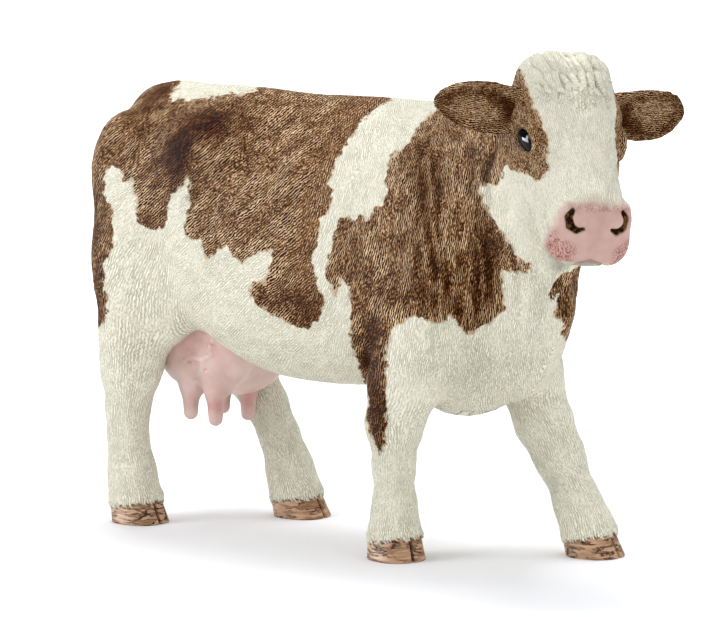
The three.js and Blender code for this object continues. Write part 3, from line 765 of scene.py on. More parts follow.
def painted_coat(name):
    """Matt paint on moulded PVC: hardly any gleam, dark in the grooves, tan or cream on the ridges,
    with soft clouds where the wash lies thicker, painted shade where the attribute 'shade' is high and
    painted light where it is below nothing, and ragged edges between brown and cream."""
    material, tree, shader = new_material(name, 0.7, Specular_IOR_Level=0.04)
    stroke = comb_strokes(tree)
    lock = add(tree, "ShaderNodeAttribute", output="Fac", attribute_name="lock")
    height = add(tree, "ShaderNodeMath", [lock, 0.2, stroke], operation="MULTIPLY_ADD")
    here = add(tree, "ShaderNodeTexCoord", output="Object")
    edge = add(tree, "ShaderNodeTexNoise", {"Vector": here, "Scale": 0.85 / mm, "Detail": 1.0})
    patch = add(tree, "ShaderNodeAttribute", output="Fac", attribute_name="patch")
    depth = add(tree, "ShaderNodeMath", [edge, 1.7, patch], operation="MULTIPLY_ADD")
    depth = add(tree, "ShaderNodeMath", [stroke, 0.4, depth], operation="MULTIPLY_ADD")
    brown_share = add(tree, "ShaderNodeMapRange", [depth, 1.02, 1.12, 0.0, 1.0])
    cloud = add(tree, "ShaderNodeTexNoise", {"Vector": here, "Scale": 0.17 / mm, "Detail": 3.0})
    # The wash's clouds and the painted shade of the attribute 'shade' together: more makes the paint darker
    # and browner, less makes it lighter
    shade = add(tree, "ShaderNodeAttribute", output="Fac", attribute_name="shade")
    wash_and_shade = add(tree, "ShaderNodeMath", [cloud, 0.5, shade], operation="MULTIPLY_ADD")
    wash_and_shade = add(tree, "ShaderNodeMath", [wash_and_shade, 0.25], operation="SUBTRACT")
    level = add(tree, "ShaderNodeMath", [wash_and_shade, -0.34, height], operation="MULTIPLY_ADD")
    ramp = add(tree, "ShaderNodeValToRGB", [level])
    stops = ramp.node.color_ramp.elements
    for i, (at, code) in enumerate(brown_stops):
        stop = stops[i] if i < 2 else stops.new(at)
        stop.position, stop.color = at, colour(code)
    veil = add(tree, "ShaderNodeMapRange", [wash_and_shade, 0.2, 1.1, 0.0, 0.8])
    brown = add(tree, "ShaderNodeMix", {0: veil, 6: ramp, 7: colour("#b98b54")}, 2,
                data_type="RGBA", blend_type="MULTIPLY")
    pale = add(tree, "ShaderNodeMath", [wash_and_shade, -0.5, height], operation="MULTIPLY_ADD")
    pale = add(tree, "ShaderNodeMapRange", [pale, -0.25, 0.7, 0.0, 1.0])
    cream = add(tree, "ShaderNodeMix", {0: pale, 6: colour("#b6b39e"), 7: colour("#f1eede")}, 2,
                data_type="RGBA")
    base = add(tree, "ShaderNodeMix", {0: brown_share, 6: cream, 7: brown}, 2, data_type="RGBA")
    tree.links.new(base, shader.inputs["Base Color"])
    bump = add(tree, "ShaderNodeBump", {"Height": height, "Strength": 1.0, "Distance": 0.17 * mm})
    tree.links.new(bump, shader.inputs["Normal"])
    return material


coat = painted_coat("matt_painted_coat")
print("material:", coat.name)

# %% [markdown]
# ## The face's paint
#
# The muzzle is bare skin: a smooth pink sprayed over the cream, a little glossier than the coat, with
# dark pores at the roots of its whiskers. The nostrils are brushed dark brown. The head is one
# moulding, so it keeps one material, and three attributes say where it is pink, dark or stippled.
# Cutting the muzzle off as a piece of its own would leave a hard line where the spray fades out.

# %% The muzzle and the nostrils
def face_paint():
    """The coat, and over it satin pink on the muzzle, with pores, and dark matt nostrils."""
    material = painted_coat("matt_painted_coat_with_muzzle")
    tree = material.node_tree
    shader = tree.nodes["Principled BSDF"]
    base = shader.inputs["Base Color"].links[0].from_socket
    bump = shader.inputs["Normal"].links[0].from_node
    relief = bump.inputs["Height"].links[0].from_socket
    here = add(tree, "ShaderNodeTexCoord", output="Object")
    bare, dark, stipple = [add(tree, "ShaderNodeAttribute", output="Fac", attribute_name=key)
                           for key in ("pink", "dark", "stipple")]
    cloud = add(tree, "ShaderNodeTexNoise", {"Vector": here, "Scale": 0.42 / mm, "Detail": 3.0})
    comb = add(tree, "ShaderNodeAttribute", output="Vector", attribute_name="comb_aside")
    thin = add(tree, "ShaderNodeMapping", {"Vector": comb, "Scale": (1.5, 1.5, 0.75)})
    pores = add(tree, "ShaderNodeTexVoronoi", {"Vector": thin, "Scale": 1.0})
    pore = add(tree, "ShaderNodeMapRange", [pores, 0.5, 0.25, 0.0, 1.0])
    pit = add(tree, "ShaderNodeMath", [pore, stipple], operation="MULTIPLY")
    pink = add(tree, "ShaderNodeMix", {0: cloud, 6: colour("#b18c84"), 7: colour("#cdb0a8")}, 2,
               data_type="RGBA")
    blush = add(tree, "ShaderNodeMath", [stipple, 0.35], operation="MULTIPLY")
    pink = add(tree, "ShaderNodeMix", {0: blush, 6: pink, 7: colour("#cd9286")}, 2, data_type="RGBA")
    pink = add(tree, "ShaderNodeMix", {0: pit, 6: pink, 7: colour("#9a5547")}, 2, data_type="RGBA")
    base = add(tree, "ShaderNodeMix", {0: bare, 6: base, 7: pink}, 2, data_type="RGBA")
    inner = add(tree, "ShaderNodeTexNoise", {"Vector": here, "Scale": 1.6 / mm, "Detail": 2.0})
    inner = add(tree, "ShaderNodeMapRange", [inner, 0.48, 0.66, 0.0, 1.0])
    inner = add(tree, "ShaderNodeMix", {0: inner, 6: colour("#1c0c03"), 7: colour("#6b4a26")}, 2,
                data_type="RGBA")
    base = add(tree, "ShaderNodeMix", {0: dark, 6: base, 7: inner}, 2, data_type="RGBA")
    tree.links.new(base, shader.inputs["Base Color"])
    smooth = add(tree, "ShaderNodeMath", [bare, -0.92, 1.0], operation="MULTIPLY_ADD")
    relief = add(tree, "ShaderNodeMath", [relief, smooth], operation="MULTIPLY")
    relief = add(tree, "ShaderNodeMath", [relief, pit], operation="SUBTRACT")
    tree.links.new(relief, bump.inputs["Height"])
    gloss = add(tree, "ShaderNodeMapRange", [bare, 0.0, 1.0, 0.7, 0.42])
    tree.links.new(gloss, shader.inputs["Roughness"])
    return material


face_coat = face_paint()
print("material:", face_coat.name)

# %% [markdown]
# ## The trunk, head and legs
#
# All three come out of the same field, so their skins meet at the CAD seams without a step. Each one
# runs a little past its seam into its neighbour, where the two skins lie on each other, and no line
# shows. The locks of the coat push the vertices out along the slope of the field.

# %% Seams
neck_seam = body_size * [0.37, -0.13, 0.9]
neck_way = turn(-32, 14)[:, 0]
seam_lap = 0.5  # mm that a skin runs on past its seam
print("neck seam at, mm:", np.round(neck_seam + figure_shift, 1))


def past_neck(points):
    """How far ahead of the neck seam points are."""
    return (points - neck_seam) @ neck_way


def leg_block(points, leg, lap):
    """Less than nothing in the block below a leg's seam that belongs to the leg."""
    path = np.array(leg.path)[::-1]
    x = np.interp(points[..., 2] / back_height, path[:, 2], path[:, 0]) * body_length
    y = path[0, 1] * body_width
    middle = y + math.copysign(0.3, y) * leg_thickness
    top = points[..., 2] - leg.seam * back_height
    side = np.abs(points[..., 1] - middle) - leg_thickness
    end = np.abs(points[..., 0] - x) - 1.2 * leg_thickness
    return np.maximum(np.maximum(top, side), end) - lap


def smeared(vertices, faces, values):
    """1 where strokes would smear, as their first coordinate hardly changes along the skin, else 0."""
    pairs = np.concatenate([faces[:, [i, (i + 1) % 4]] for i in range(4)])
    length = np.linalg.norm(vertices[pairs[:, 0]] - vertices[pairs[:, 1]], axis=1) + 1e-6
    aside = values.get("aside", np.zeros(len(vertices)))
    total = np.zeros(len(vertices))
    for key, share in (("comb", 1 - aside), ("comb_aside", aside)):
        if key in values:
            across = values[key][:, 0]
            rate = np.abs(across[pairs[:, 0]] - across[pairs[:, 1]]) / length * stroke_width
            fastest = np.zeros(len(vertices))
            np.maximum.at(fastest, pairs.ravel(), np.repeat(rate, 2))
            total += share * smooth_step(0.55, 0.3, fastest)
    return total


hollow_reach = 2.2  # mm out of the skin at which more clay means a hollow, darkened with painted shade


def finish_skin(name, clay, limits, materials, attributes_of, amount):
    """Nets the clay, combs locks into it, paints shade into its hollows, and makes the piece."""
    vertices, faces = clay.net(limits)
    vertices = settle(clay, vertices, faces, limits)
    normals = clay.slope(vertices)
    # Painted shade: the paint is darker where more clay lies just outside the skin, in hollows and creases
    hollow = np.clip(1 - clay.sample(vertices + normals * hollow_reach) / hollow_reach, -1, 1)
    lock, values = attributes_of(vertices, normals)
    if "comb" in values:
        values["smear"] = smeared(vertices, faces, values)
    vertices = vertices + normals * (lock * amount(vertices))[:, None]
    values.update(lock=lock, shade=np.clip(hollow, 0, 1) + values.get("shade", 0))
    return make_piece(name, vertices, faces, materials, values)


# Darker wash of the airbrush, and painted shade in hollows, folds and on the white of thigh and breast:
# strength, then half width and a line in pixels of the photograph
airbrush_and_shade_lines = [
    [0.95, 13, [(212, 122), (190, 130), (178, 142), (173, 162)]],  # hollow before the hip
    [0.4, 20, [(236, 118), (200, 126), (182, 150), (170, 186)]],  # round that hollow
    [0.45, 12, [(420, 150), (423, 200), (408, 240)]],  # between shoulder and neck
    [0.45, 5, [(424, 225), (432, 258), (446, 285), (457, 312)]],  # point of the shoulder
    [0.3, 22, [(380, 290), (452, 312)]],  # upper arm
    [0.2, 6, [(472, 215), (480, 250)]],  # a fold of the neck
    [0.75, 12, [(372, 330), (380, 440)]],  # streak on the foreleg
    [0.45, 9, [(95, 190), (96, 320)]],  # edge of the buttock
    [0.4, 20, [(268, 296), (312, 312)]],  # lowest brown of the flank
    [0.6, 8, [(150, 102), (166, 90)]],  # tail head
    [0.25, 9, [(492, 128), (530, 122)]],  # under the ear
    [0.45, 26, [(130, 240), (128, 340)]],  # white of the thigh
    [0.3, 24, [(430, 365), (520, 360)]],  # white of the breast
]


def airbrush_and_shade_at(points):
    """How much wash and painted shade lie at points in mm, by where they land in the photograph, seen or
    not.
    """
    spots = pictured(points)
    return sum(strength * np.exp(-(near_line(spots, np.array(line)) / wide) ** 2)
               for strength, wide, line in airbrush_and_shade_lines)


fold_shade = 0.25  # how much painted shade darkens the hollow of a fold


def neck_folds(points):
    """Long soft folds of the neck, in mm."""
    x, y, z = wavy(points, 7, 1.0, 15).T
    fold = 1 - 2 * np.abs(rough(np.stack([(x - off_middle(x, y) + 0.1 * z) / 2.6, y / 14, z / 16], -1), 16))
    on_neck = smooth_step(19, 28, x) * smooth_step(34, 44, z) * smooth_step(9, 2, past_neck(points))
    return 0.22 * (fold - 0.4) * on_neck


def relief(points):
    """How strongly the locks stand out, in mm."""
    return 0.13 + 0.07 * smooth_step(14, 28, points[:, 0])


def coat_values(points, normals):
    """Locks of the coat of trunk and legs, as shares of the relief, and what the paint needs to know."""
    comb, aside, share = upright_comb(points), flank_comb(points), flank_share(points)
    leg_way, leg_share = legs_comb(points)
    aside = np.where(((leg_share > 0) & (leg_share >= share))[:, None], leg_way, aside)
    share = np.maximum(share, leg_share)
    lock = locks(comb) * (1 - share) + locks(aside) * share
    folds = neck_folds(points) / relief(points)
    # Painted shade: along the lines of the table above and in the hollows of the neck's folds
    return lock + folds, {
        "comb": comb, "comb_aside": aside, "aside": share, "patch": body_patches(points, normals),
        "shade": airbrush_and_shade_at(points) - fold_shade * folds * (folds < 0)}

# %% The trunk
# The block's corners and its cells are in mm, here and below
clay = Clay((-60, -24, 20), (46, 24, 80), 0.46 * quick_factor).add(trunk + limbs + head)
grid = clay.points()
limits = past_neck(grid) - seam_lap
for leg in legs.values():
    limits = np.maximum(limits, -leg_block(grid, leg, -seam_lap))
limits = limits.astype(np.float32)

finish_skin("torso_skin", clay, limits, [coat], coat_values, relief)

# %% The legs
leg_clays = {}
for name, leg in legs.items():
    path = np.array(leg.path)[:, :3] * body_size
    low = np.array([path[:, 0].min() - 9, path[:, 1].min() - 9, -1])
    high = np.array([path[:, 0].max() + 9, path[:, 1].max() + 9, leg.seam * back_height + 4])
    clay = Clay(low, high, 0.34 * quick_factor).add(trunk + leg_forms(leg) + [hoof_form(leg, 0.12)])
    grid = clay.points()
    limits = np.maximum(leg_block(grid, leg, seam_lap), hair_line(leg, grid) - grid[..., 2])
    limits = limits.astype(np.float32)
    finish_skin(name + "_skin", clay, limits, [coat], coat_values, relief)
    leg_clays[name] = clay

# %% [markdown]
# ## The face
#
# A face is read at a glance, so it gets forms of its own on top of the plain head: lids round the
# eyes, wings and commas for the nostrils, a chin, and the line of the mouth. *way* is -1 for a form
# that carves. Both sides come from one table, mirrored across the middle of the face. The lines of
# the nostrils and the mouth are drawn near the face, then moved onto its skin along the slope of the
# field, so they follow it whatever its shape. A sculpt brush would do the same by hand.

# %% Face forms, in mm: forward along the face, left, up from it
eye_centre, eye_radii = [9.7, 7.7, -3.9], [2.5, 0.95, 1.7]
eye_yaw, eye_pitch = 10, 24


def face_at(forward, left, lift):
    """A place in the face's own axes, in mm."""
    return np.array([forward, left, lift]) @ head_turn.T + poll


def both_sides(rows):
    """The same row for the right side of the face and for the left."""
    return [[side, [row[0][0], side * row[0][1], row[0][2]], *row[1:]] for row in rows for side in (-1, 1)]


def eye_turn(side):
    return head_turn @ turn(-side * eye_yaw, eye_pitch)


def eye_ring(side, stretch):
    """Places round an eye, on the plane through its corners."""
    angles = np.radians(np.arange(0, 361, 30))
    ring = np.stack([np.cos(angles) * eye_radii[0] * stretch, 0 * angles + side * eye_radii[1] * 0.35,
                     np.sin(angles) * eye_radii[2] * stretch], -1)
    return ring @ eye_turn(side).T + face_at(eye_centre[0], side * eye_centre[1], eye_centre[2])


face = []
for side in (-1, 1):
    lid = [0.28 + 0.16 * max(0.0, math.sin(a)) for a in np.radians(np.arange(0, 361, 30))]
    face += chain(eye_ring(side, 1.08), lid, 0.8)
face += [ball(face_at(*centre), radii, head_turn @ turn(0, pitch), reach, way)
         for side, centre, radii, reach, way, pitch in both_sides([
             [[24.4, 4.4, -4.2], [1.9, 1.8, 3.0], 1.6, 1, 38],  # wing of the nostril
             [[23.4, 5.0, -8.4], [3.8, 1.9, 2.2], 2.0, 1, 10],  # upper lip, side
         ])]
face += [ball(face_at(26.1, 0, -9.9), [2.7, 3.8, 1.6], head_turn, 0.7)]  # chin
socket_out = 1.2  # mm: the eye's socket is carved from this far outside the eye's centre
sockets = [ball(face_at(x, y + side * socket_out, z), np.array(eye_radii) + [0.15, socket_out + 0.1, 0.1],
                eye_turn(side), 0.2, -1)
           for side, (x, y, z) in both_sides([[eye_centre]])]
nostril_line = [[24.6, 4.3, -2.0], [25.2, 4.8, -2.9], [26.1, 4.4, -3.8], [26.7, 3.4, -4.2],
                [26.6, 2.3, -3.9]]
nostril_radii = [0.42, 0.58, 0.66, 0.5, 0.32]
nostril_knob = [25.8, 3.2, -2.8]  # the round edge that a nostril bends about
nostril_shift = [0, -0.2, 0]  # both sit a little to the right of the middle
lip_line = [[25.5, -5.2, -14], [27, -4.6, -11.9], [28.2, -3.4, -10.3], [29, -1.8, -9.2], [29.3, 0, -8.8],
            [29, 1.8, -9.2], [28.2, 3.4, -10.3], [27, 4.6, -11.9], [25.5, 5.2, -14]]
lip_slope, lip_height = 1.37, -49.0  # the mouth lies where up = slope * forward + height
lip_radii = [0.15, 0.25, 0.3, 0.32, 0.32, 0.32, 0.3, 0.25, 0.15]
print("face forms:", len(face))

# %% The head
head_clay = Clay((26, -28, 42), (66, 12, 86), 0.28 * quick_factor).add(trunk + head + face)
limits = (-past_neck(head_clay.points()) - seam_lap).astype(np.float32)


def head_on_skin(places, depth=0.0):
    """Places in the face's own axes, moved onto the skin or below it by a depth."""
    places = np.array(places, float) @ head_turn.T + poll
    for _ in range(4):
        places = places - head_clay.slope(places) * (head_clay.sample(places) + depth)[:, None]
    return places


whole_skin = head_clay.field.copy()  # as it is before the nostrils, the mouth and the sockets are carved
nostrils = [head_on_skin(np.array(nostril_line) * [1, side, 1] + nostril_shift, 0.1) for side in (-1, 1)]
lips = head_on_skin(lip_line)
for places in nostrils:
    head_clay.add(chain(places, nostril_radii, 0.25, -1))
head_clay.add(chain(lips, lip_radii, 0.2, -1))
knobs = [head_on_skin([np.array(nostril_knob) * [1, side, 1]], 0.45)[0] for side in (-1, 1)]
head_clay.add([ball(knob, [0.9, 0.9, 0.9], turn(), 0.5) for knob in knobs])
head_clay.add(sockets)


def head_values(points, normals):
    """Locks of the head's coat, calm round the eyes and gone on the muzzle, and where it is painted how."""
    body, face_way = upright_comb(points), face_comb(points)
    share = smooth_step(3, 9, past_neck(points))
    folds = neck_folds(points) / relief(points)
    local = (points - poll) @ head_turn
    halved = np.stack([local[:, 0], np.abs(local[:, 1]), local[:, 2]], -1)
    pink = smooth_step(21.9, 24.3, local[:, 0] + 0.32 * local[:, 2] + 0.6 * rough(points / 1.2, 9))
    lip_level = lip_slope * local[:, 0] + lip_height - 0.7 * smooth_step(2.5, 4, local[:, 1])
    upper_lip = smooth_step(-0.35, 0.2, local[:, 2] - lip_level + 0.3 * rough(points / 0.8, 10))
    crease = smooth_step(0.7, 0.2, near_line(points, lips))
    away = np.linalg.norm((halved - eye_centre) / [3.4, 2.4, 2.4], axis=1)
    lock = (locks(body) * (1 - share) + locks(face_way) * share) * (1 - pink) * smooth_step(0.9, 1.5, away)
    sunk = -head_clay.sample(points, whole_skin)
    at_nostril = smooth_step(1.6, 1.1, np.min([near_line(points, n) for n in nostrils], 0))
    dark = smooth_step(0.08, 0.3, sunk) * at_nostril
    low_side = smooth_step(2.4, 4.6, halved[:, 1]) * smooth_step(-5.0, -6.6, local[:, 2]) * upper_lip
    top_edge = smooth_step(1.3, 0.3, np.abs(local[:, 0] - 24.1)) * smooth_step(-2.6, -1.4, local[:, 2])
    below = (1 - upper_lip) * smooth_step(25, 27, local[:, 0])
    # Painted light and shade: the face is painted lighter than the coat, and painted shade lies along the
    # table's lines and in the neck's folds
    return lock + folds, {
        "comb": body, "comb_aside": face_way, "aside": share, "patch": head_patches(points),
        "pink": pink * (0.25 + 0.75 * upper_lip), "dark": np.maximum(dark, 0.35 * crease),
        "stipple": (low_side + 0.55 * top_edge + 0.4 * below) * pink,
        "shade": airbrush_and_shade_at(points) * (1 - share) - 0.3 * share - fold_shade * folds * (folds < 0)}


finish_skin("head_skin", head_clay, limits, [face_coat], head_values, relief)

# %% [markdown]
# ## The eyes
#
# On the figure an eye is a bump in the mould, painted black and touched with clear lacquer. A ball of
# its own in the socket shows the same clean edge with far fewer vertices than the head's skin would
# need there. It hardly needs a colour: nearly all that it shows is the lamps.

# %% The eyes
def eye_material():
    """Gloss lacquer over black paint: sharp bright lights on near black, like a wet eye."""
    material, tree, shader = new_material("black_gloss_lacquer", 0.06, Specular_IOR_Level=0.12)
    here = add(tree, "ShaderNodeTexCoord", output="Object")
    tone = add(tree, "ShaderNodeTexNoise", {"Vector": here, "Scale": 0.5 / mm})
    tone = add(tree, "ShaderNodeMix", {0: tone, 6: colour("#010102"), 7: colour("#0a1018")}, 2,
               data_type="RGBA")
    tree.links.new(tone, shader.inputs["Base Color"])
    return material


eye_gloss = eye_material()
for side, name in ((-1, "right_eye"), (1, "left_eye")):
    centre = face_at(eye_centre[0], side * eye_centre[1], eye_centre[2])
    clay = Clay(centre - 4, centre + 4, 0.2).add([ball(centre, eye_radii, eye_turn(side), 0.1)])
    vertices, faces = clay.net()
    make_piece(name, settle(clay, vertices, faces), faces, [eye_gloss])

# %% [markdown]
# ## The forelock and the fringes
#
# On the poll the coat is moulded as thick white curls, and a fringe of short locks hangs over each
# hoof. A curl is the same small shape many times over, so Geometry Nodes make it: a bowed spine, a
# ring swept along it that swells and tapers, and one copy on every point of a cloud. Each point
# says which way is out, which way its curl runs and how long it is: chance, drawn from a fixed seed.
# The curls sit half sunk in the skin. Blender's hair curves would give thin strands, and these are
# stout locks of vinyl.

# %% A tree that plants curls
def curl_tree():
    """A curl on every point, along the point's attribute 'along' and standing off along 'out'."""
    tree = bpy.data.node_groups.new("curls", "GeometryNodeTree")
    sockets = {"Length": 3.4 * mm, "Width": 1.1 * mm, "Bow": 0.5}
    tree.interface.new_socket("Geometry", in_out="INPUT", socket_type="NodeSocketGeometry")
    keys = {label: tree.interface.new_socket(label, in_out="INPUT",
                                             socket_type="NodeSocketFloat").identifier
            for label in sockets}
    keys["Finish"] = tree.interface.new_socket("Finish", in_out="INPUT",
                                               socket_type="NodeSocketMaterial").identifier
    tree.interface.new_socket("Geometry", in_out="OUTPUT", socket_type="NodeSocketGeometry")
    given = add(tree, "NodeGroupInput").node.outputs

    # The spine is one long, and lies in the skin at both ends
    middle = add(tree, "ShaderNodeCombineXYZ", [0.05, -0.3, given["Bow"]])
    spine = add(tree, "GeometryNodeCurveQuadraticBezier", [7, (-0.5, 0.0, -0.1), middle,
                                                           (0.5, 0.15, -0.08)])
    share = add(tree, "GeometryNodeSplineParameter")
    swell = add(tree, "ShaderNodeFloatCurve", [1.0, share])
    profile = swell.node.mapping.curves[0]
    profile.points[0].location, profile.points[1].location = (0.0, 0.35), (1.0, 0.1)
    for at, radius in ((0.15, 0.75), (0.4, 1.0), (0.75, 0.7)):
        profile.points.new(at, radius)
    swell.node.mapping.update()
    slim = add(tree, "ShaderNodeMath", [given["Width"], given["Length"]], operation="DIVIDE")
    slim = add(tree, "ShaderNodeMath", [swell, slim], operation="MULTIPLY")
    ring = add(tree, "GeometryNodeCurvePrimitiveCircle", {"Resolution": 7, "Radius": 0.5})
    curl = add(tree, "GeometryNodeCurveToMesh", {"Curve": spine, "Profile Curve": ring, "Scale": slim,
                                                 "Fill Caps": True})
    out = add(tree, "GeometryNodeInputNamedAttribute", ["out"], data_type="FLOAT_VECTOR")
    along = add(tree, "GeometryNodeInputNamedAttribute", ["along"], data_type="FLOAT_VECTOR")
    size = add(tree, "GeometryNodeInputNamedAttribute", ["size"], data_type="FLOAT")
    turned = add(tree, "FunctionNodeAxesToRotation", [out, along])
    scale = add(tree, "ShaderNodeMath", [size, given["Length"]], operation="MULTIPLY")
    curls = add(tree, "GeometryNodeInstanceOnPoints", {"Points": given["Geometry"], "Instance": curl,
                                                       "Rotation": turned, "Scale": scale})
    curls = add(tree, "GeometryNodeRealizeInstances", [curls])
    curls = add(tree, "GeometryNodeSetShadeSmooth", [curls])
    curls = add(tree, "GeometryNodeSetMaterial", {"Geometry": curls, "Material": given["Finish"]})
    add(tree, "NodeGroupOutput", [curls])
    return tree, keys, sockets


planting, planting_keys, planting_sizes = curl_tree()
print("curl sizes, m:", planting_sizes)

# %% Planting
def plant(name, places, outs, alongs, sizes, finish, values_of, **changes):
    """A piece of curls, one at each place in mm. changes are other sizes for the tree's inputs."""
    mesh = bpy.data.meshes.new(name + "_points")
    mesh.from_pydata(((places + figure_shift) * mm).tolist(), [], [])
    write_values(mesh, {"out": outs, "along": alongs, "size": sizes})
    holder = bpy.data.objects.new(name + "_points", mesh)
    bpy.context.scene.collection.objects.link(holder)
    modifier = holder.modifiers.new("curls", "NODES")
    modifier.node_group = planting
    for label, value in {**planting_sizes, **changes, "Finish": finish}.items():
        modifier[planting_keys[label]] = value
    curls = bpy.data.meshes.new_from_object(holder.evaluated_get(bpy.context.evaluated_depsgraph_get()))
    bpy.data.objects.remove(holder)
    spots = np.empty(len(curls.vertices) * 3, np.float32)
    curls.vertices.foreach_get("co", spots)
    write_values(curls, values_of(spots.reshape(-1, 3).astype(float) / mm - figure_shift))
    piece = bpy.data.objects.new(name, curls)
    bpy.context.scene.collection.objects.link(piece)
    pieces[name] = piece
    print(f"{name}: {len(places)} curls, {len(curls.vertices)} vertices")

# %% The forelock
curl_random = np.random.default_rng(4)
# Each row: forward, from and to across, in mm; curls; heading from straight forward and its spread; size
curl_rows = [[-3.0, -2.6, 5.0, 6, 0.0, 0.2, 1.35], [-0.7, -4.6, 5.8, 8, 0.15, 0.25, 1.5],
             [1.6, -5.8, 6.0, 9, 0.25, 0.4, 1.3], [3.6, -6.2, 6.2, 11, 0.3, 1.0, 0.85],
             [5.1, -6.0, 6.2, 12, 0.0, 2.4, 0.6], [6.4, -5.0, 5.4, 10, 0.0, 3.1, 0.45]]
spots, ways, sizes = [], [], []
for forward, first, last, count, heading, spread, size in curl_rows:
    for across in np.linspace(first, last, count):
        way = heading + spread * curl_random.uniform(-1, 1)
        spots.append([forward + curl_random.uniform(-0.5, 0.5), across + curl_random.uniform(-0.3, 0.3),
                      2.0])
        ways.append([math.cos(way), math.sin(way), 0.0])
        sizes.append(size * curl_random.uniform(0.85, 1.15))
roots_of_curls = head_on_skin(spots, 0.3)


def curl_values(points):
    """The head's paint on the curls, with painted shade where they sink in and painted light on the rest."""
    low = smooth_step(0.5, -0.2, head_clay.sample(points))
    return {"comb": face_comb(points), "comb_aside": face_comb(points), "patch": head_patches(points),
            "shade": 0.8 * low - 0.5, "lock": -low}


plant("forelock", roots_of_curls, head_clay.slope(roots_of_curls), np.array(ways) @ head_turn.T,
      np.array(sizes), coat, curl_values, Bow=0.26, Width=1.35 * mm)

# %% [markdown]
# ## The ears
#
# An ear is a cupped leaf of even thickness with a round rim. Its outline was chosen as a few
# points, then its corners are cut until it looks smooth. A bent plane with Solidify would make the
# leaf too, but as a form it melts into its stalk. Its hair runs from the root to the tip, and is
# calmer in the cup, where the brush left the middle tan.

# %% The ears
# The leaf seen flat: share of its length from the root, and half widths above and below as shares
leaf_outline = [[-0.15, 0.34], [0.0, 0.42], [0.2, 0.5], [0.45, 0.56], [0.68, 0.54], [0.85, 0.42],
                [0.97, 0.24], [1.03, 0.02], [0.97, -0.14], [0.86, -0.3], [0.68, -0.43], [0.45, -0.49],
                [0.2, -0.46], [0.0, -0.42], [-0.15, -0.34]]
ear_cup = 0.16  # how strongly the leaf curls forward, 1/mm
ear_edge = 0.75  # half the thickness of its rim, mm


def ear_axes(side):
    """Where an ear grows from, and its axes: along it, across it and out of its cup."""
    base = head_place(0.11, side * 0.235, -0.15)
    along = head_place(0.08, side * 0.69, -0.15) - base
    along /= np.linalg.norm(along)
    front = head_turn @ [1, 0, 0.9]
    front -= along * (front @ along)
    front /= np.linalg.norm(front)
    return base, np.stack([along, np.cross(front, along), front], 1)


def rounded(outline, rounds=2):
    """Cuts the corners of an outline until it looks smooth."""
    for _ in range(rounds):
        after = np.roll(outline, -1, 0)
        outline = np.stack([0.75 * outline + 0.25 * after, 0.25 * outline + 0.75 * after], 1).reshape(-1, 2)
    return outline


def leaf(base, axes, side):
    """A cupped leaf with a round rim, as a form."""
    outline = rounded(np.array(leaf_outline) * [ear_length, side * ear_width])

    def distance(p):
        shape = p.shape[:-1]
        along, across, lift = ((p - base) @ axes).reshape(-1, 3).T
        root = smooth_step(0.4, -0.1, along / ear_length)
        sheet = lift - ear_cup * across ** 2 + 0.04 * ear_length * root
        thick = ear_edge + ear_thickness * 0.32 * root
        edge = np.stack([-within(outline, np.stack([along, across], -1)) + thick, np.abs(sheet)], -1)
        flat = np.linalg.norm(np.maximum(edge, 0), axis=1)
        return np.where(edge[:, 0] > 0, flat, edge[:, 1]).reshape(shape) - thick.reshape(shape)
    middle = base + axes @ [ear_length / 2, 0, 0]
    return Form(distance, middle - ear_length, middle + ear_length, 1.2, 1)


for side, name in ((-1, "right_ear"), (1, "left_ear")):
    base, axes = ear_axes(side)
    middle = base + axes @ [ear_length / 2, 0, 0]
    clay = Clay(middle - 12, middle + 12, 0.26 * quick_factor)
    clay.add([leaf(base, axes, side), limb(base - axes[:, 0] * 2.3, ear_thickness * 0.6,
                                           base + axes[:, 0] * 3.9, ear_thickness * 0.5, 2.4)])

    def ear_values(points, normals):
        along, across, lift = ((points - base) @ axes).T
        bent = wavy(points, 2.5, 0.5, 11)
        comb = ((bent - base) @ axes)[:, [1, 2, 0]] / face_stroke
        comb = comb / [stroke_width, stroke_width, stroke_length * 0.7]
        inside = np.hypot((along / ear_length - 0.56) / 0.38, (across / ear_width - 0.06) / 0.34)
        cup = smooth_step(0.0, 0.5, normals @ axes[:, 2]) * smooth_step(1.6, 1.0, inside)
        tan = smooth_step(1.0, 0.3, inside)
        root = smooth_step(0.55, 0.2, along / ear_length) * smooth_step(0.35, -0.1, across / ear_width)
        # Painted shade in the cup, darkest towards the root, round the tan left in its middle
        shade = cup * (0.45 - 0.95 * tan + 0.6 * root) - 0.05
        return locks(comb) * (1 - 0.5 * cup), {"comb": comb, "patch": 5 + 0 * inside, "shade": shade}
    finish_skin(name + "_skin", clay, None, [coat], ear_values, relief)

# %% [markdown]
# ## The udder
#
# Bare skin, so it is smooth and pink: a bag of a few balls with four teats, and a swollen vein or
# two. It is redder at the roots of the teats, and painted shade darkens it up against the belly and
# in its dimples. The veins and their dimples were drawn on the photograph and are read through the
# camera like the patches; they raise or sink the skin by up to a third of a millimetre. A sphere with
# teats pulled out of it under Subdivision Surface would do too, but melted forms fill the creases at
# the roots by themselves.

# %% The udder
udder_middle = body_size * [-0.325, 0, 0.43]
udder_size = np.array([udder_length, udder_width, udder_depth])
bag = [ball(udder_middle + udder_size * [x, y, z], udder_size * [rx, ry, rz], turn(), melt / 2)
       for x, y, z, rx, ry, rz in (
           [0.14, 0, 0, 0.38, 0.52, 0.46], [-0.2, 0, 0, 0.36, 0.52, 0.46],
           [0.0, 0.02, -0.27, 0.38, 0.44, 0.27], [-0.28, 0, -0.24, 0.3, 0.42, 0.27])]
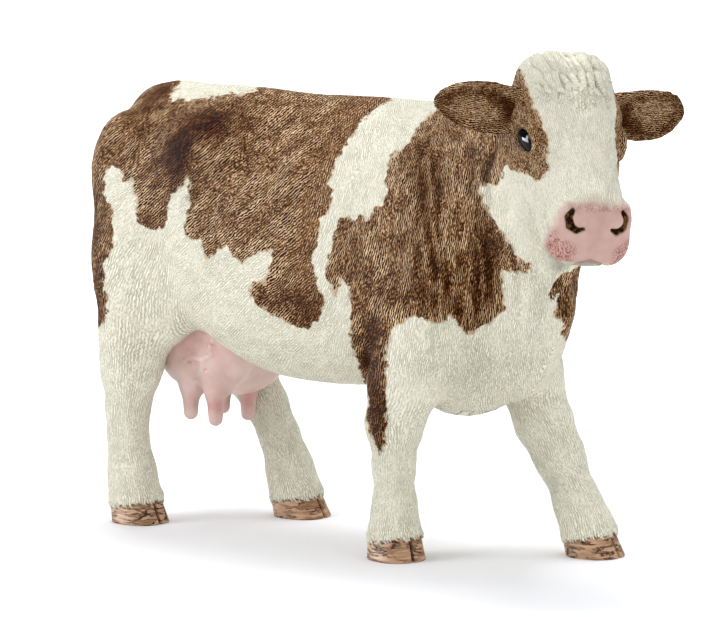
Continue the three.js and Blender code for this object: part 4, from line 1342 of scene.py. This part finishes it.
# Each teat: forward and left as shares of the udder, and how much longer it is, mm
teat_places = np.array([[0.05, -0.3, 0.6], [-0.01, 0.31, 0.9], [-0.2, -0.3, 0], [-0.21, 0.22, 0]])
teat_floor = udder_middle[2] - udder_depth * 0.46 - teat_length + teat_diameter / 2
for forward, left, longer in teat_places:
    root = udder_middle + udder_size * [forward, left, -0.28]
    tip = root * [1, 1, 0] + [0, 0, teat_floor - longer]
    bag += chain([root, (root + tip) / 2 + [0, 0, 0.5], tip], [2.4, 1.55, 1.2], 1.6)
clay = Clay(udder_middle - [16, 12, 22], udder_middle + [17, 12, 16], 0.34 * quick_factor).add(bag)

# Swollen veins and their dimples, in pixels of the photograph
vein_lines = [[(213, 342), (208, 352), (212, 355), (202, 361), (201, 372), (194, 378), (196, 389)],
              [(202, 361), (192, 357), (184, 361)], [(253, 366), (247, 378), (236, 388)]]
dimples = [(212, 345), (189, 362), (195, 380), (205, 370)]


def udder_values(points, normals):
    """Veins up, dimples down, and how red the skin is, with painted shade near the belly and in the dimples.
    """
    z = points[:, 2]
    band = np.exp(-((z - 19.8) / 1.8) ** 2)  # at the roots of the teats
    spots = pictured(points)
    near = smooth_step(-0.1, 0.3, normals @ camera_back)
    away = np.min([near_line(spots, np.array(line)) for line in vein_lines], 0)
    vein = smooth_step(2.2, 0.6, away) * near
    dimple = np.max([smooth_step(2.4, 0.8, np.linalg.norm(spots - np.array(at), axis=1))
                     for at in dimples], 0) * near
    # Painted shade: darker and redder up against the belly and in the dimples
    shade_near_belly = smooth_step(25, 33, z)
    blush = 0.7 * band + 0.75 * shade_near_belly + 0.25 * rough(points / 4, 12) - 0.7 * vein + dimple
    return vein - 1.5 * dimple, {"blush": blush}


def bare_skin():
    """Flesh-coloured satin paint on PVC: a soft gleam on round forms, faint clouds, a very fine grain."""
    material, tree, shader = new_material("satin_painted_skin", 0.42, Specular_IOR_Level=0.35)
    here = add(tree, "ShaderNodeTexCoord", output="Object")
    # blush: redder at the roots of the teats, with painted shade up against the belly and in the dimples
    blush = add(tree, "ShaderNodeAttribute", output="Fac", attribute_name="blush")
    cloud = add(tree, "ShaderNodeTexNoise", {"Vector": here, "Scale": 0.26 / mm, "Detail": 3.0})
    cloud = add(tree, "ShaderNodeMapRange", [cloud, 0.35, 0.7, 0.0, 0.7])
    pink = add(tree, "ShaderNodeMix", {0: blush, 6: colour("#c9aca6"), 7: colour("#bc827e")}, 2,
               data_type="RGBA")
    pink = add(tree, "ShaderNodeMix", {0: cloud, 6: pink, 7: colour("#dbc5be")}, 2, data_type="RGBA")
    tree.links.new(pink, shader.inputs["Base Color"])
    grain = add(tree, "ShaderNodeTexNoise", {"Vector": here, "Scale": 1.5 / mm, "Detail": 2.0})
    bump = add(tree, "ShaderNodeBump", {"Height": grain, "Strength": 0.3, "Distance": 0.1 * mm})
    tree.links.new(bump, shader.inputs["Normal"])
    return material


finish_skin("udder_skin", clay, None, [bare_skin()], udder_values, lambda p: 0.22 + 0 * p[:, 0])

# %% [markdown]
# ## The tail
#
# The photograph all but hides it, so this is what such a figure usually has: a tail that hangs close
# behind the rump and swells into a switch of longer hair. A bevelled curve would make a smooth one;
# this is a chain of limbs cast like the rest, so that it can carry the same coat. Its strokes are
# counted round it, and its locks are deeper and longer towards the end.

# %% The tail
# Place x, y, z as shares of the body's sizes, and thickness as a share of the tail's
tail_rows = np.array([[-0.44, 0, 0.93, 0.6], [-0.52, -0.02, 0.885, 0.42], [-0.56, -0.05, 0.78, 0.34],
                      [-0.57, -0.07, 0.64, 0.4], [-0.565, -0.09, 0.51, 0.5], [-0.555, -0.1, 0.41, 0.38],
                      [-0.545, -0.11, 0.345, 0.2]])
clay = Clay((-64, -11, 20), (-38, 6, 76), 0.34 * quick_factor)
clay.add(chain(tail_rows[:, :3] * body_size, tail_rows[:, 3] * tail_thickness, 0.2 * melt))


def tail_values(points, normals):
    """Long locks down the tail, brown all over and dark with wash."""
    path = tail_rows[::-1, :3] * body_size
    back, left = [points[:, k] - np.interp(points[:, 2], path[:, 2], path[:, k]) for k in (0, 1)]
    around = np.arctan2(left, -back) * 0.6 * tail_thickness
    comb = np.stack([around / stroke_width, 0 * around, points[:, 2] / stroke_length], -1) / neck_stroke
    lock = 0.7 * rough(comb / [2.2, 2.2, 4], 5) + 0.3 * rough(comb / 1.4, 6)
    return lock, {"comb": comb, "patch": 5 + 0 * lock, "shade": 0.45 + 0 * lock}


finish_skin("tail_skin", clay, None, [coat], tail_values,
            lambda p: 0.1 + 0.2 * smooth_step(45, 34, p[:, 2]))

# %% [markdown]
# ## The hooves
#
# Horn, painted tan with a dark wash in its cracks. On the figure a hoof is one wall with a cleft
# down its front, and the coat of the leg ends over it in a fringe. Two claws cut apart by a Boolean
# would be truer to a cow than to this toy. Cracks run round it level with the ground, so the noises
# that draw them are squashed upwards.

# %% The hooves
def crack_depth(points):
    """1 in the middle of a crack, 0 on the wall between cracks."""
    bent = wavy(points, 2.5, 0.6, 21)
    line = np.abs(rough(bent / [3.4, 3.4, 0.6], 22))
    return smooth_step(0.08, 0.02, line) * smooth_step(-0.15, 0.25, rough(points / 1.8, 23))


def painted_horn():
    """Tan satin paint on PVC, wiped with a dark wash: a dull gleam, level streaks, near black cracks."""
    material, tree, shader = new_material("satin_painted_horn", 0.5, Specular_IOR_Level=0.2)
    here = add(tree, "ShaderNodeTexCoord", output="Object")
    flat = add(tree, "ShaderNodeMapping", {"Vector": here, "Scale": (0.33 / mm, 0.33 / mm, 1.9 / mm)})
    grain = add(tree, "ShaderNodeTexNoise", {"Vector": flat, "Scale": 1.0, "Detail": 2.0,
                                             "Distortion": 0.4})
    level = add(tree, "ShaderNodeMapRange", [grain, 0.3, 0.65, 0.0, 1.0])
    line = add(tree, "ShaderNodeMath", [grain, 0.47], operation="SUBTRACT")
    line = add(tree, "ShaderNodeMath", [line], operation="ABSOLUTE")
    line = add(tree, "ShaderNodeMapRange", [line, 0.012, 0.036, 1.0, 0.0])
    spread = add(tree, "ShaderNodeTexNoise", {"Vector": here, "Scale": 0.5 / mm, "Detail": 1.0})
    spread = add(tree, "ShaderNodeMapRange", [spread, 0.4, 0.5, 0.0, 1.0])
    line = add(tree, "ShaderNodeMath", [line, spread], operation="MULTIPLY")
    crack = add(tree, "ShaderNodeAttribute", output="Fac", attribute_name="crack")
    line = add(tree, "ShaderNodeMath", [line, crack], operation="MAXIMUM")
    tan = add(tree, "ShaderNodeMix", {0: level, 6: colour("#855f41"), 7: colour("#c6a283")}, 2,
              data_type="RGBA")
    tan = add(tree, "ShaderNodeMix", {0: line, 6: tan, 7: colour("#3a2010")}, 2, data_type="RGBA")
    tree.links.new(tan, shader.inputs["Base Color"])
    height = add(tree, "ShaderNodeMath", [grain, line], operation="SUBTRACT")
    bump = add(tree, "ShaderNodeBump", {"Height": height, "Strength": 0.8, "Distance": 0.15 * mm})
    tree.links.new(bump, shader.inputs["Normal"])
    return material


horn = painted_horn()
for name, leg in legs.items():
    middle = np.array([leg.hoof[0] * body_length, leg.hoof[1] * body_width, 2.0])
    clay = Clay(middle - [8, 8, 4], middle + [8, 8, 6], 0.22 * quick_factor).add([hoof_form(leg)])
    grid = clay.points()
    limits = np.maximum(-grid[..., 2], grid[..., 2] - hoof_height).astype(np.float32)

    def hoof_values(points, normals):
        forward, aside, lift = ((points - middle) @ turn(leg.hoof[2])).T
        seam = smooth_step(0.3, 0.1, np.abs(aside)) * smooth_step(1.2, 2.4, forward)
        crack = np.maximum(crack_depth(points), seam) * smooth_step(0.05, 0.3, points[:, 2])
        return -crack, {"crack": crack}
    finish_skin(name.replace("leg", "hoof"), clay, limits, [horn], hoof_values,
                lambda p: 0.14 * smooth_step(0.1, 0.4, p[:, 2]))

# %% The fringes over the hooves
fringe_random = np.random.default_rng(9)
spots, outs, downs, sizes = [], [], [], []
turns = np.radians(np.arange(0, 360, 6))  # one lock every 6 degrees round a hoof
for name, leg in legs.items():
    middle = np.array([leg.hoof[0] * body_length, leg.hoof[1] * body_width, 0])
    ring = np.stack([np.cos(turns) * 0.46 * hoof_length, np.sin(turns) * 0.46 * hoof_width, 0 * turns], -1)
    places = ring @ turn(leg.hoof[2]).T + middle
    places[:, 2] = hair_line(leg, places) + fringe_random.uniform(0.2, 0.9, len(places))
    for _ in range(4):
        places = places - leg_clays[name].slope(places) * (leg_clays[name].sample(places) + 0.1)[:, None]
    spots.append(places)
    outs.append(leg_clays[name].slope(places))
    downs.append(np.stack([fringe_random.uniform(-0.25, 0.25, len(places)), 0 * turns, -1 + 0 * turns], -1))
    sizes.append(fringe_random.uniform(0.4, 0.62, len(places)))


def fringe_values(points):
    """Plain cream, combed down the leg."""
    comb = legs_comb(points)[0]
    none = np.zeros(len(points))
    return {"comb": comb, "comb_aside": comb, "patch": none - 5, "shade": none, "lock": none}


plant("hoof_fringes", np.concatenate(spots), np.concatenate(outs), np.concatenate(downs),
      np.concatenate(sizes), coat, fringe_values, Bow=0.06, Width=0.9 * mm)

# %% [markdown]
# ## Floor and light
#
# A catalogue picture: a white table under soft boxes. The one overhead stands a little behind the
# figure, so the shadow lies under it and in front of it; the key models the coat from the left, low
# enough to add little to the table, and a wide fill from the right lifts the face. The table takes
# its paleness from its own colour and a faint glow further out that only the camera sees. The
# catchlight is there for the eye and other gloss alone.

# %% The floor
# White matt paper: no gleam at all, so that only the shadow shows on it
floor_mesh = bpy.data.meshes.new("floor")
floor_half = 6.0  # m
floor_mesh.from_pydata([(-floor_half, -floor_half, 0), (floor_half, -floor_half, 0),
                        (floor_half, floor_half, 0), (-floor_half, floor_half, 0)], [], [(0, 1, 2, 3)])
floor = bpy.data.objects.new("floor", floor_mesh)
bpy.context.scene.collection.objects.link(floor)
floor_paint, tree, shader = new_material("studio_floor", 0.9, Specular_IOR_Level=0.0)
seen = add(tree, "ShaderNodeLightPath", output="Is Camera Ray")
here = add(tree, "ShaderNodeTexCoord", output="Object")
away = add(tree, "ShaderNodeVectorMath", [here], "Value", operation="LENGTH")
white = add(tree, "ShaderNodeMapRange", [away, 0.08, 0.5, 0.04, 0.6])
glow = add(tree, "ShaderNodeMath", [seen, white], operation="MULTIPLY")
paint = add(tree, "ShaderNodeMix", {0: seen, 6: colour("#f8f8f8"), 7: colour("#f1f2f6")}, 2,
            data_type="RGBA")
tree.links.new(paint, shader.inputs["Base Color"])
shader.inputs["Emission Color"].default_value = colour("#ffffff")
tree.links.new(glow, shader.inputs["Emission Strength"])
floor_mesh.materials.append(floor_paint)
print("floor, m across:", 2 * floor_half)

# %% The lamps
world = bpy.data.worlds.new("studio")
world.use_nodes = True
world.node_tree.nodes["Background"].inputs["Color"].default_value = colour("#ffffff")
world.node_tree.nodes["Background"].inputs["Strength"].default_value = 0.62
bpy.context.scene.world = world
bpy.context.scene.view_settings.view_transform = "Standard"


def add_lamp(name, azimuth, height, distance, size, power):
    """A square soft box aimed at the figure. Azimuth and height in degrees, distance and size in m,
    power in W."""
    lamp = bpy.data.lights.new(name, "AREA")
    lamp.size, lamp.energy = size, power
    made = bpy.data.objects.new(name, lamp)
    a, h = math.radians(azimuth), math.radians(height)
    way = Vector((math.sin(a) * math.cos(h), -math.cos(a) * math.cos(h), math.sin(h)))
    made.location = way * distance + Vector((0, 0, 0.04))
    made.rotation_euler = way.to_track_quat("Z", "Y").to_euler()
    bpy.context.scene.collection.objects.link(made)
    return made


add_lamp("key", -28, 34, 0.9, 0.4, 3.1)
add_lamp("overhead", 222, 69, 0.9, 0.45, 5.0)
add_lamp("fill", 75, 20, 0.9, 0.8, 2.0)
catchlight = add_lamp("catchlight", -57, 15, 0.7, 0.46, 22.0)
catchlight.visible_diffuse = False  # matt paint doesn't see it
print("lamps:", [lamp.name for lamp in bpy.data.lights])

# %% [markdown]
# ## Which piece stands for what
#
# The figure has no joint, so every piece rides on the one body. A skin takes the place of the CAD
# node of the same name and hides it. Hooves, eyes, forelock and fringes have no node of their own:
# they are paint and relief on leg and head, kept as pieces because each has its own finish or shape.

# %% Attach each piece and hide its CAD node
for name, piece in pieces.items():
    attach(piece, "root")
    node = name.replace("_skin", "")
    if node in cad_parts:
        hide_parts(node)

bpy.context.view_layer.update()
print(f"made in {time.time() - started:.0f} s")
